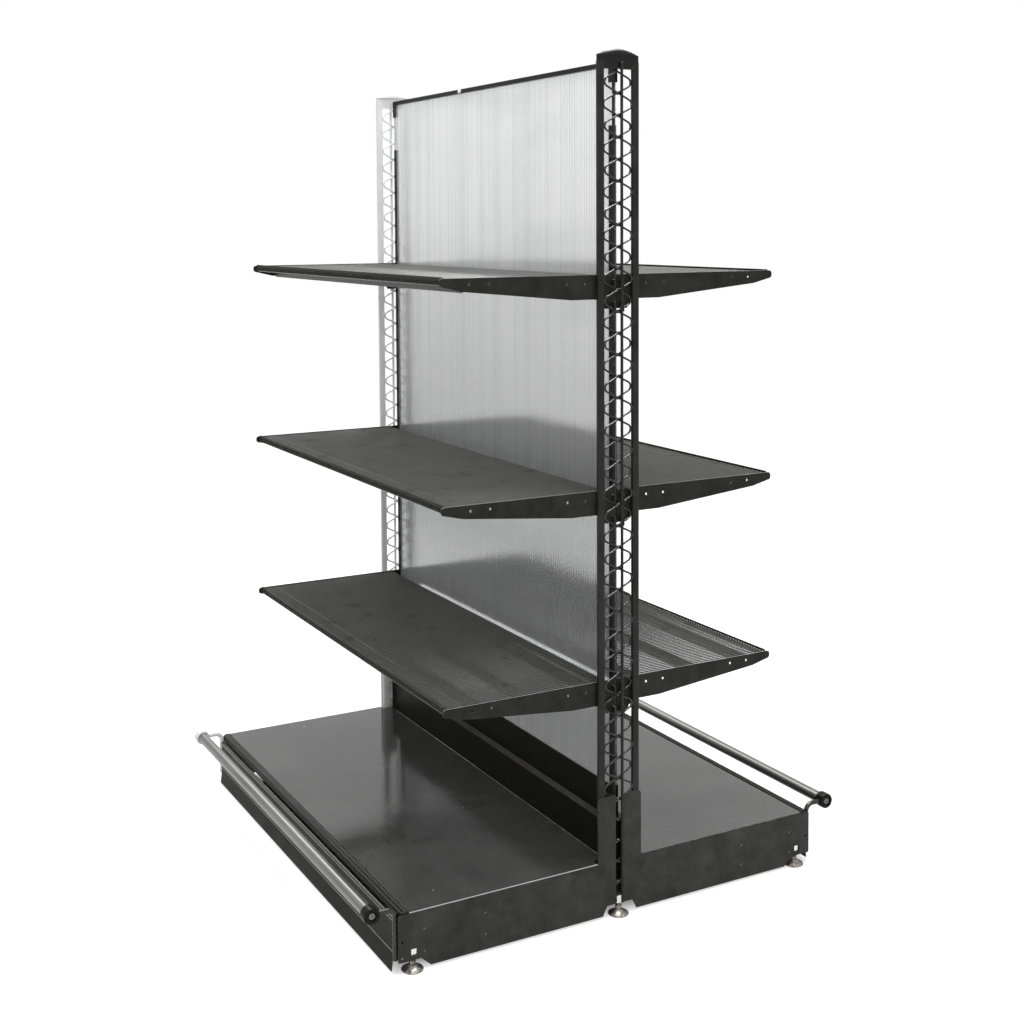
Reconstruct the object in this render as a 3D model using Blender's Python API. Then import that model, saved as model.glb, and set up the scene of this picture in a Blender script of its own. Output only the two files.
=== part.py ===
"""Double-sided gondola shelving bay.

Metres, +Z up, origin on the floor under the middle of the bay.
X runs along the bay, the front side faces -Y and "depth" is the distance from the bay's middle plane.
The rear side is the front side turned half round about Z.
"""

import math

import bmesh
import bpy
from mathutils import Vector

# Fits
SEAT_GAP = 0.0003
DECK_SIDE_GAP = 0.0006
HOOK_PLAY = 0.0006
BORE_PLAY = 0.0003

# Uprights
BAY = 1.250
POST_BASE = 0.029
POST_HEIGHT = 1.971
POST_DEPTH = 0.112
BAR_WIDTH = 0.016
BAR_THICK = 0.010
BAR_CORNER = 0.002
ROD_D = 0.007
ROD_DEPTH = 0.006
WIRE_D = 0.0044
GRID = 0.050
TIP_LENGTH = 0.010
TIE_THICK = 0.004
TIE_DROP = 0.0165
TIE_INSET = 0.001
LINK_DEPTH = 0.012
LINK_DROP = 0.008
NUT_SIZE = 0.018
NUT_HEIGHT = 0.014

# Upright caps
CAP_EDGE = 0.012
CAP_DOME = 0.017
CAP_PLUG = 0.010
CAP_TRIM = 0.0005

# Back panel and its trims
PANEL_THICK = 0.010
PANEL_SKIN = 0.0012
PANEL_CELLS = 12
TRIM_WALL = 0.0025
TRIM_HOLD = 0.0155
RAIL_RISE = 0.003
RAIL_HEIGHT = 0.011
RAIL_LEG = 0.048
BARE_EDGE = 0.098

# Base cross beam
BEAM_BOTTOM = 0.100
BEAM_BOX_HEIGHT = 0.1245
BEAM_NECK_HEIGHT = 0.0815
BEAM_HALF_DEPTH = 0.030
BEAM_NECK = 0.008
BEAM_WALL = 0.002

# Base end plates
PLATE_THICK = 0.002
PLATE_REACH = 0.573
PLATE_RISE = 0.0035
PLATE_LOW = 0.006
ROD_SIDE_GAP = 0.0015
TOWER_LAP = 0.004
TOWER_TOP = 0.292
TOWER_CORNER = 0.010
REAR_CUT_START = 0.035
REAR_CUT_SLANT = 0.012
FOOT_CUT_AHEAD = 0.016
FOOT_CUT_SLANT = 0.024
FOOT_CUT_TOP = 0.027
WINDOW = 0.015
WINDOW_RISE = 0.0115
CARRIER_HALF = 0.018
CARRIER_Z = 0.033
FLANGE_SETBACK = 0.007
FLANGE_WIDTH = 0.042
FLANGE_BOTTOM = 0.040
FLANGE_UNDER_LIP = 0.006
SUPPORT_WIDTH = 0.022
SUPPORT_START = 0.090
SUPPORT_GAP = 0.002

# Base decks
DECK_Z = 0.1345
DECK_THICK = 0.002
DECK_POST_GAP = 0.006
LIP_WIDTH = 0.022
LIP_LAP = 0.006
LIP_RISE = 0.0018
LIP_RIBS = (
    (0.10, 0.0),
    (0.20, 0.9),
    (0.30, 1.0),
    (0.46, 1.0),
    (0.54, 0.6),
    (0.62, 1.0),
    (0.84, 0.9),
    (0.94, 0.3),
)
LIP_DROP = 0.0105

# Kick plates
KICK_STANDOFF = 0.008
KICK_THICK = 0.002
KICK_UNDER_LIP = 0.007
KICK_BEAD = 0.010
KICK_CREASE_Z = 0.046
KICK_FLARE = 0.006
KICK_BOTTOM = 0.004
KICK_WING = 0.042
KICK_WING_DROP = 0.023

# Bumper rails
BUMPER_STANDOFF = 0.0582
BUMPER_Z = 0.147
TUBE_D = 0.028
TUBE_WALL = 0.0015
BUMPER_CAP_D = 0.038
BUMPER_CAP_LENGTH = 0.025
BUMPER_CAP_SLEEVE = 0.013
BUMPER_CAP_ROUND = 0.004
BUMPER_CAP_RECESS_D = 0.022
BUMPER_CAP_RECESS = 0.0045
ARM_D = 0.012
ARM_BEND = 0.015
ARM_BOTTOM = 0.030
ARM_INSET = 0.005

# Shelves
SHELF_NODES = {"bottom": 11, "middle": 20, "top": 30}
SHELF_BELOW_NODE = 0.014
SHELF_REACH = 0.454
BRACKET_THICK = 0.0025
BRACKET_GAP = 0.0015
LONG_ROOT = 0.001
NOSE_RADIUS = 0.008
NOSE_HEIGHT = 0.019
KNEE_BACK = 0.054
KNEE_DROP = 0.030
HEEL_DEPTH = 0.120
HEEL_DROP = 0.057
TAIL_MARGIN = 0.010
HOOK_THICK = 0.0025
HOOK_BODY = 0.014
HOOK_LIP = 0.003
HOOK_DROP = 0.010
PLATE_HOLE_D = 0.006
PLATE_HOLES = ((0.084, 0.020), (0.132, 0.020), (0.332, 0.014), (0.381, 0.014))
LEDGE_WIDTH = 0.012
LEDGE_THICK = 0.002
LEDGE_START = 0.064
LEDGE_END = 0.430
SHELF_DECK_REAR = 0.024
SHELF_DECK_SETBACK = 0.008
SHELF_DECK_SINK = 0.002
SHELF_DECK_THICK = 0.003
SHELF_DECK_SLOTS = 20
SLOT_WIDTH = 0.030
SLOT_MARGIN = 0.016
SLOT_END_MARGIN = 0.022
RUNNER_THICK = 0.0018
RUNNER_WIDTH = 0.014
CROSS_BAR_PLACES = (0.154, 0.513, 0.859)
CROSS_BAR_THICK = 0.002
CROSS_BAR_HEIGHT = 0.0315
REAR_BAR_THICK = 0.003
REAR_BAR_HEIGHT = 0.019
FRONT_RAIL = 0.010
FRONT_RAIL_HEIGHT = 0.014

# Feet
FOOT_SETBACK = 0.039
FOOT_INSET = 0.005
PAD_D = 0.050
PAD_RIM = 0.003
PAD_HEIGHT = 0.013
PAD_NECK_D = 0.020
PAD_SOCKET_FLOOR = 0.0065
STEM_D = 0.010
STEM_BELOW_NUT = 0.002
COLLAR_D = 0.0155
COLLAR_HEIGHT = 0.0087

# Overlap of welded volumes, so that no faces coincide
BITE = 0.0007

# Rounds
TUBE_SIDES = 18
ROD_SIDES = 10
WIRE_SIDES = 6
SMOOTH_BELOW = math.radians(35)

# Sizes that follow from those above
POST_X = BAY / 2
POST_TOP = POST_BASE + POST_HEIGHT
BAR_OUT = POST_DEPTH / 2
BAR_IN = BAR_OUT - BAR_WIDTH
WIRE_R = WIRE_D / 2
WIRE_X = WIRE_R + SEAT_GAP / 2
ROD_R = ROD_D / 2
ROD_X = WIRE_X + WIRE_R + SEAT_GAP + ROD_R
ROD_REACH = ROD_X + ROD_R
LATTICE_HALF = BAR_IN - SEAT_GAP - WIRE_R
WIRE_SLOPE = (GRID - TIP_LENGTH) / 2 / LATTICE_HALF
WIRE_RISE = WIRE_R * math.hypot(1, WIRE_SLOPE)
NODE_COUNT = math.floor((POST_HEIGHT - TIE_DROP - WIRE_D) / GRID)
INNER_X = POST_X - ROD_REACH - SEAT_GAP
RAIL_TOP = POST_TOP + RAIL_RISE
STRIP_TOP = RAIL_TOP - RAIL_LEG - BARE_EDGE
BEAM_LEDGE = BEAM_BOTTOM + BEAM_BOX_HEIGHT
BEAM_TOP = BEAM_LEDGE + BEAM_NECK_HEIGHT
PLATE_X = POST_X + BAR_THICK / 2 + SEAT_GAP
PLATE_TOP = DECK_Z + PLATE_RISE
TOWER_DEPTH = BAR_OUT + TOWER_LAP
FLANGE_DEPTH = PLATE_REACH - FLANGE_SETBACK
FLANGE_FRONT = FLANGE_DEPTH + PLATE_THICK
LIP_FRONT = FLANGE_FRONT
LIP_BOTTOM = DECK_Z - LIP_DROP
DECK_SHEET_END = LIP_FRONT - LIP_WIDTH
LIP_START = DECK_SHEET_END - LIP_LAP
FLANGE_TOP = LIP_BOTTOM - FLANGE_UNDER_LIP
SUPPORT_TOP = DECK_Z - SEAT_GAP
SUPPORT_END = LIP_START - SUPPORT_GAP
KICK_DEPTH = FLANGE_FRONT + KICK_STANDOFF
KICK_TOP = LIP_BOTTOM - KICK_UNDER_LIP
FOOT_X = POST_X - FOOT_INSET
FOOT_DEPTH = PLATE_REACH - FOOT_SETBACK
STEM_TOP = CARRIER_Z + TIE_THICK + NUT_HEIGHT - STEM_BELOW_NUT
ARM_X = POST_X - ARM_INSET
ARM_R = ARM_D / 2
ARM_DEPTH = FLANGE_FRONT + SEAT_GAP + ARM_R
BUMPER_DEPTH = ARM_DEPTH + BUMPER_STANDOFF
BRACKET_X = POST_X - BAR_THICK / 2 - BRACKET_GAP - BRACKET_THICK
HOOK_DEPTH = ROD_DEPTH + ROD_R + ROD_SIDE_GAP
HOOK_REST = WIRE_SLOPE * (HOOK_DEPTH + HOOK_THICK) + WIRE_RISE + SEAT_GAP
DECK_HALF = BRACKET_X - DECK_SIDE_GAP
RUNNER_BOTTOM = -SHELF_DECK_SINK - SHELF_DECK_THICK - RUNNER_THICK
BORE_R = STEM_D / 2 + BORE_PLAY


def clear_scene():
    for obj in list(bpy.data.objects):
        bpy.data.objects.remove(obj, do_unlink=True)


def finish(name, colour, roughness, metallic):
    material = bpy.data.materials.new(name)
    material.use_nodes = True
    shader = material.node_tree.nodes["Principled BSDF"]
    shader.inputs["Base Color"].default_value = (*colour, 1.0)
    shader.inputs["Roughness"].default_value = roughness
    shader.inputs["Metallic"].default_value = metallic
    return material


def world(x, depth, z):
    return Vector((x, -depth, z))


def mesh_from(name, points, faces):
    """A closed mesh with its faces turned outward."""
    mesh = bpy.data.meshes.new(name)
    bm = bmesh.new()
    verts = [bm.verts.new(point) for point in points]
    for face in faces:
        bm.faces.new([verts[i] for i in face])
    bmesh.ops.recalc_face_normals(bm, faces=bm.faces)
    bm.to_mesh(mesh)
    bm.free()
    return mesh


def prism(name, spread, low, high, outline, holes=()):
    """An outline with holes, pushed from low to high; spread(a, b, t) gives the point in space."""
    bm = bmesh.new()
    edges = []
    for loop in (outline, *holes):
        verts = [bm.verts.new(spread(a, b, low)) for a, b in loop]
        edges += [bm.edges.new((verts[i - 1], verts[i])) for i in range(len(verts))]
    if holes:
        filled = bmesh.ops.triangle_fill(bm, edges=edges, use_beauty=True)["geom"]
        caps = [item for item in filled if isinstance(item, bmesh.types.BMFace)]
    else:
        caps = [bm.faces.new(verts)]
    pushed = bmesh.ops.extrude_face_region(bm, geom=caps)["geom"]
    moved = [item for item in pushed if isinstance(item, bmesh.types.BMVert)]
    bmesh.ops.translate(bm, verts=moved, vec=spread(0, 0, high) - spread(0, 0, low))
    bmesh.ops.recalc_face_normals(bm, faces=bm.faces)
    mesh = bpy.data.meshes.new(name)
    bm.to_mesh(mesh)
    bm.free()
    return mesh


def along_x(name, low, high, outline, holes=()):
    return prism(name, lambda depth, z, x: world(x, depth, z), low, high, outline, holes)


def along_y(name, low, high, outline, holes=()):
    return prism(name, lambda x, z, depth: world(x, depth, z), low, high, outline, holes)


def along_z(name, low, high, outline, holes=()):
    return prism(name, lambda x, depth, z: world(x, depth, z), low, high, outline, holes)


def block(name, x_range, depth_range, z_range):
    return along_z(name, *z_range, rectangle(*x_range, *depth_range))


def rectangle(a_low, a_high, b_low, b_high):
    return [(a_low, b_low), (a_high, b_low), (a_high, b_high), (a_low, b_high)]


def circle(a, b, radius, sides):
    turns = [math.tau * (i + 0.5) / sides for i in range(sides)]
    return [(a + radius * math.cos(t), b + radius * math.sin(t)) for t in turns]


def arc(a, b, radius, start_deg, end_deg, steps):
    turns = [math.radians(start_deg + (end_deg - start_deg) * i / steps) for i in range(steps + 1)]
    return [(a + radius * math.cos(t), b + radius * math.sin(t)) for t in turns]


def turned(name, profile, sides, spread):
    """A solid of revolution from (radius, height) points; the first and the last are on the axis."""
    points = []
    rings = []
    for radius, height in profile:
        count = sides if radius > 0 else 1
        rings.append([len(points) + i for i in range(count)])
        for i in range(count):
            turn = math.tau * (i + 0.5) / sides
            points.append(spread(radius * math.cos(turn), radius * math.sin(turn), height))
    faces = []
    for lower, upper in zip(rings, rings[1:]):
        for i in range(sides):
            j = (i + 1) % sides
            corners = [lower[i % len(lower)], lower[j % len(lower)]]
            corners += [upper[j % len(upper)], upper[i % len(upper)]]
            faces.append(list(dict.fromkeys(corners)))
    return mesh_from(name, points, faces)


def swept(name, path, radius, sides):
    """A round rod along a path, mitred at each bend."""
    heads = [(b - a).normalized() for a, b in zip(path, path[1:])]
    across = heads[0].orthogonal().normalized()
    points = []
    for index, centre in enumerate(path):
        before = heads[max(index - 1, 0)]
        after = heads[min(index, len(heads) - 1)]
        mitre = (before + after).normalized()
        up = before.cross(across)
        for i in range(sides):
            turn = math.tau * i / sides
            offset = radius * (math.cos(turn) * across + math.sin(turn) * up)
            points.append(centre + offset - before * (offset.dot(mitre) / before.dot(mitre)))
        across = before.rotation_difference(after) @ across
    faces = [list(range(sides)), list(range(len(points) - sides, len(points)))]
    for start in range(0, len(points) - sides, sides):
        for i in range(sides):
            j = (i + 1) % sides
            faces.append([start + i, start + j, start + sides + j, start + sides + i])
    return mesh_from(name, points, faces)


def welded(name, meshes, cuts=()):
    """One mesh from overlapping meshes, less the cutters."""
    helpers = [bpy.data.objects.new(name + "_helper", mesh) for mesh in (*meshes, *cuts)]
    for helper in helpers:
        bpy.context.scene.collection.objects.link(helper)
    for index, helper in enumerate(helpers[1:], 1):
        step = helpers[0].modifiers.new("step", "BOOLEAN")
        step.operation = "UNION" if index < len(meshes) else "DIFFERENCE"
        step.solver = "EXACT"
        step.object = helper
    graph = bpy.context.evaluated_depsgraph_get()
    mesh = bpy.data.meshes.new_from_object(helpers[0].evaluated_get(graph))
    mesh.name = name
    for helper in helpers:
        bpy.data.objects.remove(helper, do_unlink=True)
    return mesh


def anchor(name, location, rear=False):
    empty = bpy.data.objects.new(name, None)
    bpy.context.scene.collection.objects.link(empty)
    empty.location = location
    empty.rotation_euler.z = math.pi if rear else 0.0
    return empty


def put(name, mesh, material, parent):
    """Copies share a mesh, so each object holds its own material."""
    if not mesh.materials:
        mesh.shade_smooth()
        mesh.set_sharp_from_angle(angle=SMOOTH_BELOW)
        mesh.materials.append(material)
    obj = bpy.data.objects.new(name, mesh)
    bpy.context.scene.collection.objects.link(obj)
    obj.material_slots[0].link = "OBJECT"
    obj.material_slots[0].material = material
    obj.parent = parent
    return obj


def end_name(end, rear=False):
    """Which end of the bay a piece is at, after the rear side's half turn."""
    return "right" if (end > 0) != rear else "left"


def spread_x(end, *values):
    """X values at one end of the bay, in rising order."""
    return tuple(sorted(end * value for value in values))


def node_z(number):
    return POST_BASE + GRID * number


def post_mesh():
    half = BAR_THICK / 2
    bar = []
    for sign_x, sign_d, start in ((1, 1, 0), (-1, 1, 90), (-1, -1, 180), (1, -1, 270)):
        centre_x = sign_x * (half - BAR_CORNER)
        centre_d = sign_d * (BAR_WIDTH / 2 - BAR_CORNER)
        bar += arc(centre_x, centre_d, BAR_CORNER, start, start + 90, 1)
    middle = BAR_IN + BAR_WIDTH / 2
    meshes = []
    for sign in (1, -1):
        outline = [(x, depth + sign * middle) for x, depth in bar]
        meshes.append(along_z("bar", POST_BASE, POST_TOP, outline))
    for sign in (1, -1):
        outline = circle(sign * ROD_X, -sign * ROD_DEPTH, ROD_R, ROD_SIDES)
        meshes.append(along_z("rod", POST_BASE + BITE, POST_TOP - BITE, outline))
    tie_x = (TIE_INSET - half, half - TIE_INSET)
    tie_depth = (-BAR_IN - BAR_WIDTH / 4, BAR_IN + BAR_WIDTH / 4)
    foot_z = POST_BASE + TIE_INSET
    top_z = POST_TOP - TIE_DROP
    hold = (-ROD_X - BITE, ROD_X + BITE)
    hold_depth = (-ROD_DEPTH - BITE, ROD_DEPTH + BITE)
    meshes.append(block("foot_tie", tie_x, tie_depth, (foot_z, foot_z + TIE_THICK)))
    meshes.append(block("top_tie", tie_x, tie_depth, (top_z, top_z + TIE_THICK)))
    meshes.append(block("top_hold", hold, hold_depth, (top_z + BITE, top_z + TIE_THICK - BITE)))
    nut = (-NUT_SIZE / 2, NUT_SIZE / 2)
    meshes.append(block("foot_nut", nut, nut, (foot_z + BITE, foot_z + TIE_THICK + NUT_HEIGHT)))
    bore = along_z("bore", 0.0, node_z(1), circle(0, 0, BORE_R, ROD_SIDES))
    return welded("post", meshes, [bore])


def lattice_mesh():
    """One wire: down one zigzag, round at the bottom and up the mirrored one."""
    def zigzag(sign):
        path = [Vector((0.0, 0.0, node_z(NODE_COUNT)))]
        for number in range(NODE_COUNT - 1, 0, -1):
            depth = LATTICE_HALF * sign * (1 if number % 2 else -1)
            middle = node_z(number) + GRID / 2
            path.append(Vector((0.0, depth, middle + TIP_LENGTH / 2)))
            path.append(Vector((0.0, depth, middle - TIP_LENGTH / 2)))
        low = node_z(1) - WIRE_SLOPE * LINK_DEPTH
        path.append(Vector((0.0, -sign * LINK_DEPTH, low)))
        path.append(Vector((0.0, -sign * LINK_DEPTH, low - LINK_DROP)))
        return path

    down = [point + Vector((WIRE_X, 0, 0)) for point in zigzag(1)]
    up = [point - Vector((WIRE_X, 0, 0)) for point in reversed(zigzag(-1))]
    return swept("lattice", down + up, WIRE_R, WIRE_SIDES)


def cap_mesh():
    base = POST_TOP + SEAT_GAP
    wide = BAR_OUT - CAP_TRIM
    radius = (wide ** 2 + CAP_DOME ** 2) / 2 / CAP_DOME
    sweep = math.degrees(math.asin(wide / radius))
    centre_z = base + CAP_EDGE + CAP_DOME - radius
    plug = BAR_IN - CAP_TRIM
    outline = arc(0, centre_z, radius, 90 - sweep, 90 + sweep, 12)
    outline += [(-wide, base), (-plug, base), (-plug, base - CAP_PLUG)]
    outline += [(plug, base - CAP_PLUG), (plug, base), (wide, base)]
    half = ROD_X - ROD_R - SEAT_GAP
    return along_x("post_cap", -half, half, outline)


def build_uprights(coats, plastics):
    post = post_mesh()
    lattice = lattice_mesh()
    cap = cap_mesh()
    for end in (-1, 1):
        place = anchor("upright_axis_" + end_name(end), (end * POST_X, 0, 0))
        where = end_name(end)
        put("upright_post_" + where, post, coats[where], place)
        put("upright_lattice_" + where, lattice, coats[where], place)
        put("upright_cap_" + where, cap, plastics[where], place)


def build_panel(sheet, plastic):
    slot = PANEL_THICK / 2 + SEAT_GAP
    outer = slot + TRIM_WALL
    web_x = INNER_X - TRIM_WALL
    panel_x = web_x - SEAT_GAP
    half = PANEL_THICK / 2
    cell = 2 * panel_x / PANEL_CELLS
    skin = half - PANEL_SKIN
    cells = []
    for i in range(PANEL_CELLS):
        start = -panel_x + i * cell
        cells.append(rectangle(start + PANEL_SKIN, start + cell - PANEL_SKIN, -skin, skin))
    bottom = BEAM_TOP + SEAT_GAP
    top = RAIL_TOP - TRIM_WALL - SEAT_GAP
    outline = rectangle(-panel_x, panel_x, -half, half)
    put("back_panel", along_z("back_panel", bottom, top, outline, cells), sheet, None)

    rail = block("rail", (-INNER_X, INNER_X), (-outer, outer), (RAIL_TOP - RAIL_LEG, RAIL_TOP))
    room = block("room", (-web_x, web_x), (-slot, slot), (BEAM_TOP, RAIL_TOP - TRIM_WALL))
    reach = INNER_X - TRIM_HOLD
    window = block("window", (-reach, reach), (-BAR_OUT, BAR_OUT), (BEAM_TOP, RAIL_TOP - RAIL_HEIGHT))
    put("panel_top_rail", welded("panel_top_rail", [rail], [room, window]), plastic, None)

    for end in (-1, 1):
        profile = [(reach, -outer), (INNER_X, -outer), (INNER_X, outer), (reach, outer)]
        profile += [(reach, slot), (web_x, slot), (web_x, -slot), (reach, -slot)]
        outline = [(end * x, depth) for x, depth in profile]
        name = "panel_edge_strip_" + end_name(end)
        put(name, along_z(name, bottom, STRIP_TOP, outline), plastic, None)


def build_beam(metal):
    def hat(inset, low):
        side = BEAM_HALF_DEPTH - inset
        neck = BEAM_NECK - inset
        ledge = BEAM_LEDGE - inset
        top = BEAM_TOP - inset
        right = [(side, low), (side, ledge), (neck, ledge), (neck, top)]
        return right + [(-depth, z) for depth, z in reversed(right)]

    outer = along_x("hat", -INNER_X, INNER_X, hat(0, BEAM_BOTTOM))
    inner_x = INNER_X - BEAM_WALL
    inner = along_x("hollow", -inner_x, inner_x, hat(BEAM_WALL, BEAM_BOTTOM - BEAM_WALL))
    put("base_cross_beam", welded("base_cross_beam", [outer], [inner]), metal, None)


def end_plate_mesh(end):
    inner = PLATE_X
    outer = PLATE_X + PLATE_THICK
    bite = inner + BITE
    corner = arc(TOWER_DEPTH - TOWER_CORNER, TOWER_TOP - TOWER_CORNER, TOWER_CORNER, 0, 90, 3)
    start = HOOK_DEPTH
    foot_cut = FOOT_DEPTH - FOOT_CUT_AHEAD
    outline = [(start, POST_BASE), (REAR_CUT_START, POST_BASE), (REAR_CUT_START + REAR_CUT_SLANT, PLATE_LOW)]
    outline += [(foot_cut - FOOT_CUT_SLANT, PLATE_LOW), (foot_cut, FOOT_CUT_TOP), (PLATE_REACH, FOOT_CUT_TOP)]
    outline += [(PLATE_REACH, PLATE_TOP), (TOWER_DEPTH, PLATE_TOP), *corner, (start, TOWER_TOP)]
    side = WINDOW / 2
    window_z = CARRIER_Z + WINDOW_RISE
    window = rectangle(FOOT_DEPTH - side, FOOT_DEPTH + side, window_z - side, window_z + side)
    plate = along_x("plate", *spread_x(end, inner, outer), outline, [window])

    support_z = (SUPPORT_TOP - PLATE_THICK, SUPPORT_TOP)
    support_x = spread_x(end, inner - SUPPORT_WIDTH, bite)
    support = block("support", support_x, (SUPPORT_START, SUPPORT_END), support_z)
    flange_x = spread_x(end, inner - FLANGE_WIDTH, bite)
    flange = block("flange", flange_x, (FLANGE_DEPTH, FLANGE_FRONT), (FLANGE_BOTTOM, FLANGE_TOP))
    carrier_x = spread_x(end, FOOT_X - CARRIER_HALF, bite)
    carrier_depth = (FOOT_DEPTH - CARRIER_HALF, FOOT_DEPTH + CARRIER_HALF)
    carrier = block("carrier", carrier_x, carrier_depth, (CARRIER_Z, CARRIER_Z + TIE_THICK))
    nut_x = spread_x(end, FOOT_X - NUT_SIZE / 2, FOOT_X + NUT_SIZE / 2)
    nut_depth = (FOOT_DEPTH - NUT_SIZE / 2, FOOT_DEPTH + NUT_SIZE / 2)
    nut_z = (CARRIER_Z + BITE, CARRIER_Z + TIE_THICK + NUT_HEIGHT)
    nut = block("nut", nut_x, nut_depth, nut_z)
    bore_end = nut_z[1] + NUT_HEIGHT
    bore = along_z("bore", 0.0, bore_end, circle(end * FOOT_X, FOOT_DEPTH, BORE_R, ROD_SIDES))
    return welded("base_end_plate", [plate, support, flange, carrier, nut], [bore])


def kick_mesh():
    bead = KICK_BEAD / 2
    face = KICK_DEPTH
    back = KICK_DEPTH - KICK_THICK
    skirt = KICK_DEPTH + KICK_FLARE
    bead_depth = FLANGE_FRONT + SEAT_GAP + bead
    roll_start = -math.degrees(math.acos((face - bead_depth) / bead))
    roll_end = 360 - math.degrees(math.acos((back - bead_depth) / bead))
    roll = arc(bead_depth, KICK_TOP - bead, bead, roll_start, roll_end, 9)
    outline = [(skirt, KICK_BOTTOM), (face, KICK_CREASE_Z), *roll]
    outline += [(back, KICK_CREASE_Z), (skirt - KICK_THICK, KICK_BOTTOM)]
    half = ARM_X - ARM_R - DECK_SIDE_GAP
    meshes = [along_x("sheet", -half, half, outline)]
    for end in (-1, 1):
        wing_x = spread_x(end, half - KICK_THICK - BITE, half - BITE)
        wing_depth = (FLANGE_FRONT + SEAT_GAP, back + BITE)
        wing_top = KICK_TOP - KICK_WING_DROP
        meshes.append(block("wing", wing_x, wing_depth, (wing_top - KICK_WING, wing_top)))
    return welded("kick_plate", meshes)


def base_deck_mesh():
    half = PLATE_X - DECK_SIDE_GAP
    notch = INNER_X - DECK_SIDE_GAP
    rear = BEAM_HALF_DEPTH + DECK_SIDE_GAP
    clear = BAR_OUT + DECK_POST_GAP
    outline = [(notch, rear), (notch, clear), (half, clear), (half, DECK_SHEET_END)]
    outline += [(-x, depth) for x, depth in reversed(outline)]
    sheet = along_z("sheet", 0.0, DECK_THICK, outline)
    crest = DECK_THICK + LIP_RISE
    low = LIP_BOTTOM - DECK_Z
    profile = [(LIP_START, low), (LIP_START, DECK_THICK / 2)]
    profile += [(DECK_SHEET_END + LIP_WIDTH * along, crest * rise) for along, rise in LIP_RIBS]
    profile += [(LIP_FRONT, low / 3), (LIP_FRONT, low + LIP_RISE), (LIP_FRONT - LIP_RISE, low)]
    lip_half = half - BITE
    lip = along_x("lip", -lip_half, lip_half, profile)
    return welded("base_deck", [sheet, lip])


def bumper_meshes(end):
    length = BUMPER_CAP_LENGTH
    radius = BUMPER_CAP_D / 2
    sleeve = TUBE_D / 2 + SEAT_GAP
    start = POST_X + BAR_THICK / 2 + PLATE_THICK + SEAT_GAP - length
    recess = BUMPER_CAP_RECESS_D / 2
    profile = [(0, BUMPER_CAP_SLEEVE), (sleeve, BUMPER_CAP_SLEEVE), (sleeve, 0), (radius, 0)]
    profile += [(radius, length - BUMPER_CAP_ROUND), (radius - BUMPER_CAP_ROUND, length)]
    profile += [(recess, length), (recess, length - BUMPER_CAP_RECESS), (0, length - BUMPER_CAP_RECESS)]
    cap = turned(
        "bumper_cap",
        profile,
        TUBE_SIDES,
        lambda a, b, along: world(end * (start + along), BUMPER_DEPTH + a, BUMPER_Z + b),
    )
    bend_depth = ARM_DEPTH + ARM_BEND
    bend_z = BUMPER_Z - ARM_BEND
    bend = arc(bend_depth, bend_z, ARM_BEND, 180, 90, 4)
    path = [(ARM_DEPTH, ARM_BOTTOM), *bend, (BUMPER_DEPTH - radius - SEAT_GAP, BUMPER_Z)]
    arm = swept("bumper_arm", [world(end * ARM_X, depth, z) for depth, z in path], ARM_R, ROD_SIDES)
    return cap, arm, start + BUMPER_CAP_SLEEVE - SEAT_GAP


def bracket_mesh(end):
    """A shelf bracket with z measured from the shelf's top edge."""
    inner = BRACKET_X
    outer = BRACKET_X + BRACKET_THICK
    upper_hook = SHELF_BELOW_NODE - GRID + HOOK_REST
    lower_hook = upper_hook - GRID
    tail = lower_hook - HOOK_DROP - TAIL_MARGIN
    heel_start = BAR_OUT + BRACKET_THICK
    plate_root = HOOK_DEPTH if end > 0 else LONG_ROOT
    nose_bottom = NOSE_RADIUS - NOSE_HEIGHT
    centre = SHELF_REACH - NOSE_RADIUS
    outline = [(plate_root, tail), (BAR_IN, tail), (heel_start, -HEEL_DROP), (HEEL_DEPTH, -HEEL_DROP)]
    outline += [(SHELF_REACH - KNEE_BACK, -KNEE_DROP)]
    outline += arc(centre, nose_bottom, NOSE_RADIUS, -90, 0, 3)
    outline += arc(centre, -NOSE_RADIUS, NOSE_RADIUS, 0, 90, 3)
    outline += [(plate_root, 0)]
    holes = [circle(depth, -drop, PLATE_HOLE_D / 2, WIRE_SIDES) for depth, drop in PLATE_HOLES]
    meshes = [along_x("plate", *spread_x(end, inner, outer), outline, holes)]

    lip_in = POST_X + WIRE_X + WIRE_R + HOOK_PLAY
    lip_out = lip_in + HOOK_LIP
    root = outer - BRACKET_THICK / 2
    hook_depth = (HOOK_DEPTH + BITE, HOOK_DEPTH + HOOK_THICK)
    for rest in (upper_hook, lower_hook):
        shape = [(root, rest), (lip_in, rest), (lip_in, rest - HOOK_DROP), (lip_out, rest - HOOK_DROP)]
        shape += [(lip_out, rest + HOOK_BODY), (root, rest + HOOK_BODY)]
        meshes.append(along_y("hook", *hook_depth, [(end * x, z) for x, z in shape]))
    ledge_top = RUNNER_BOTTOM - SEAT_GAP
    ledge_x = spread_x(end, inner - LEDGE_WIDTH, root)
    meshes.append(block("ledge", ledge_x, (LEDGE_START, LEDGE_END), (ledge_top - LEDGE_THICK, ledge_top)))
    return welded("shelf_bracket", meshes)


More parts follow.
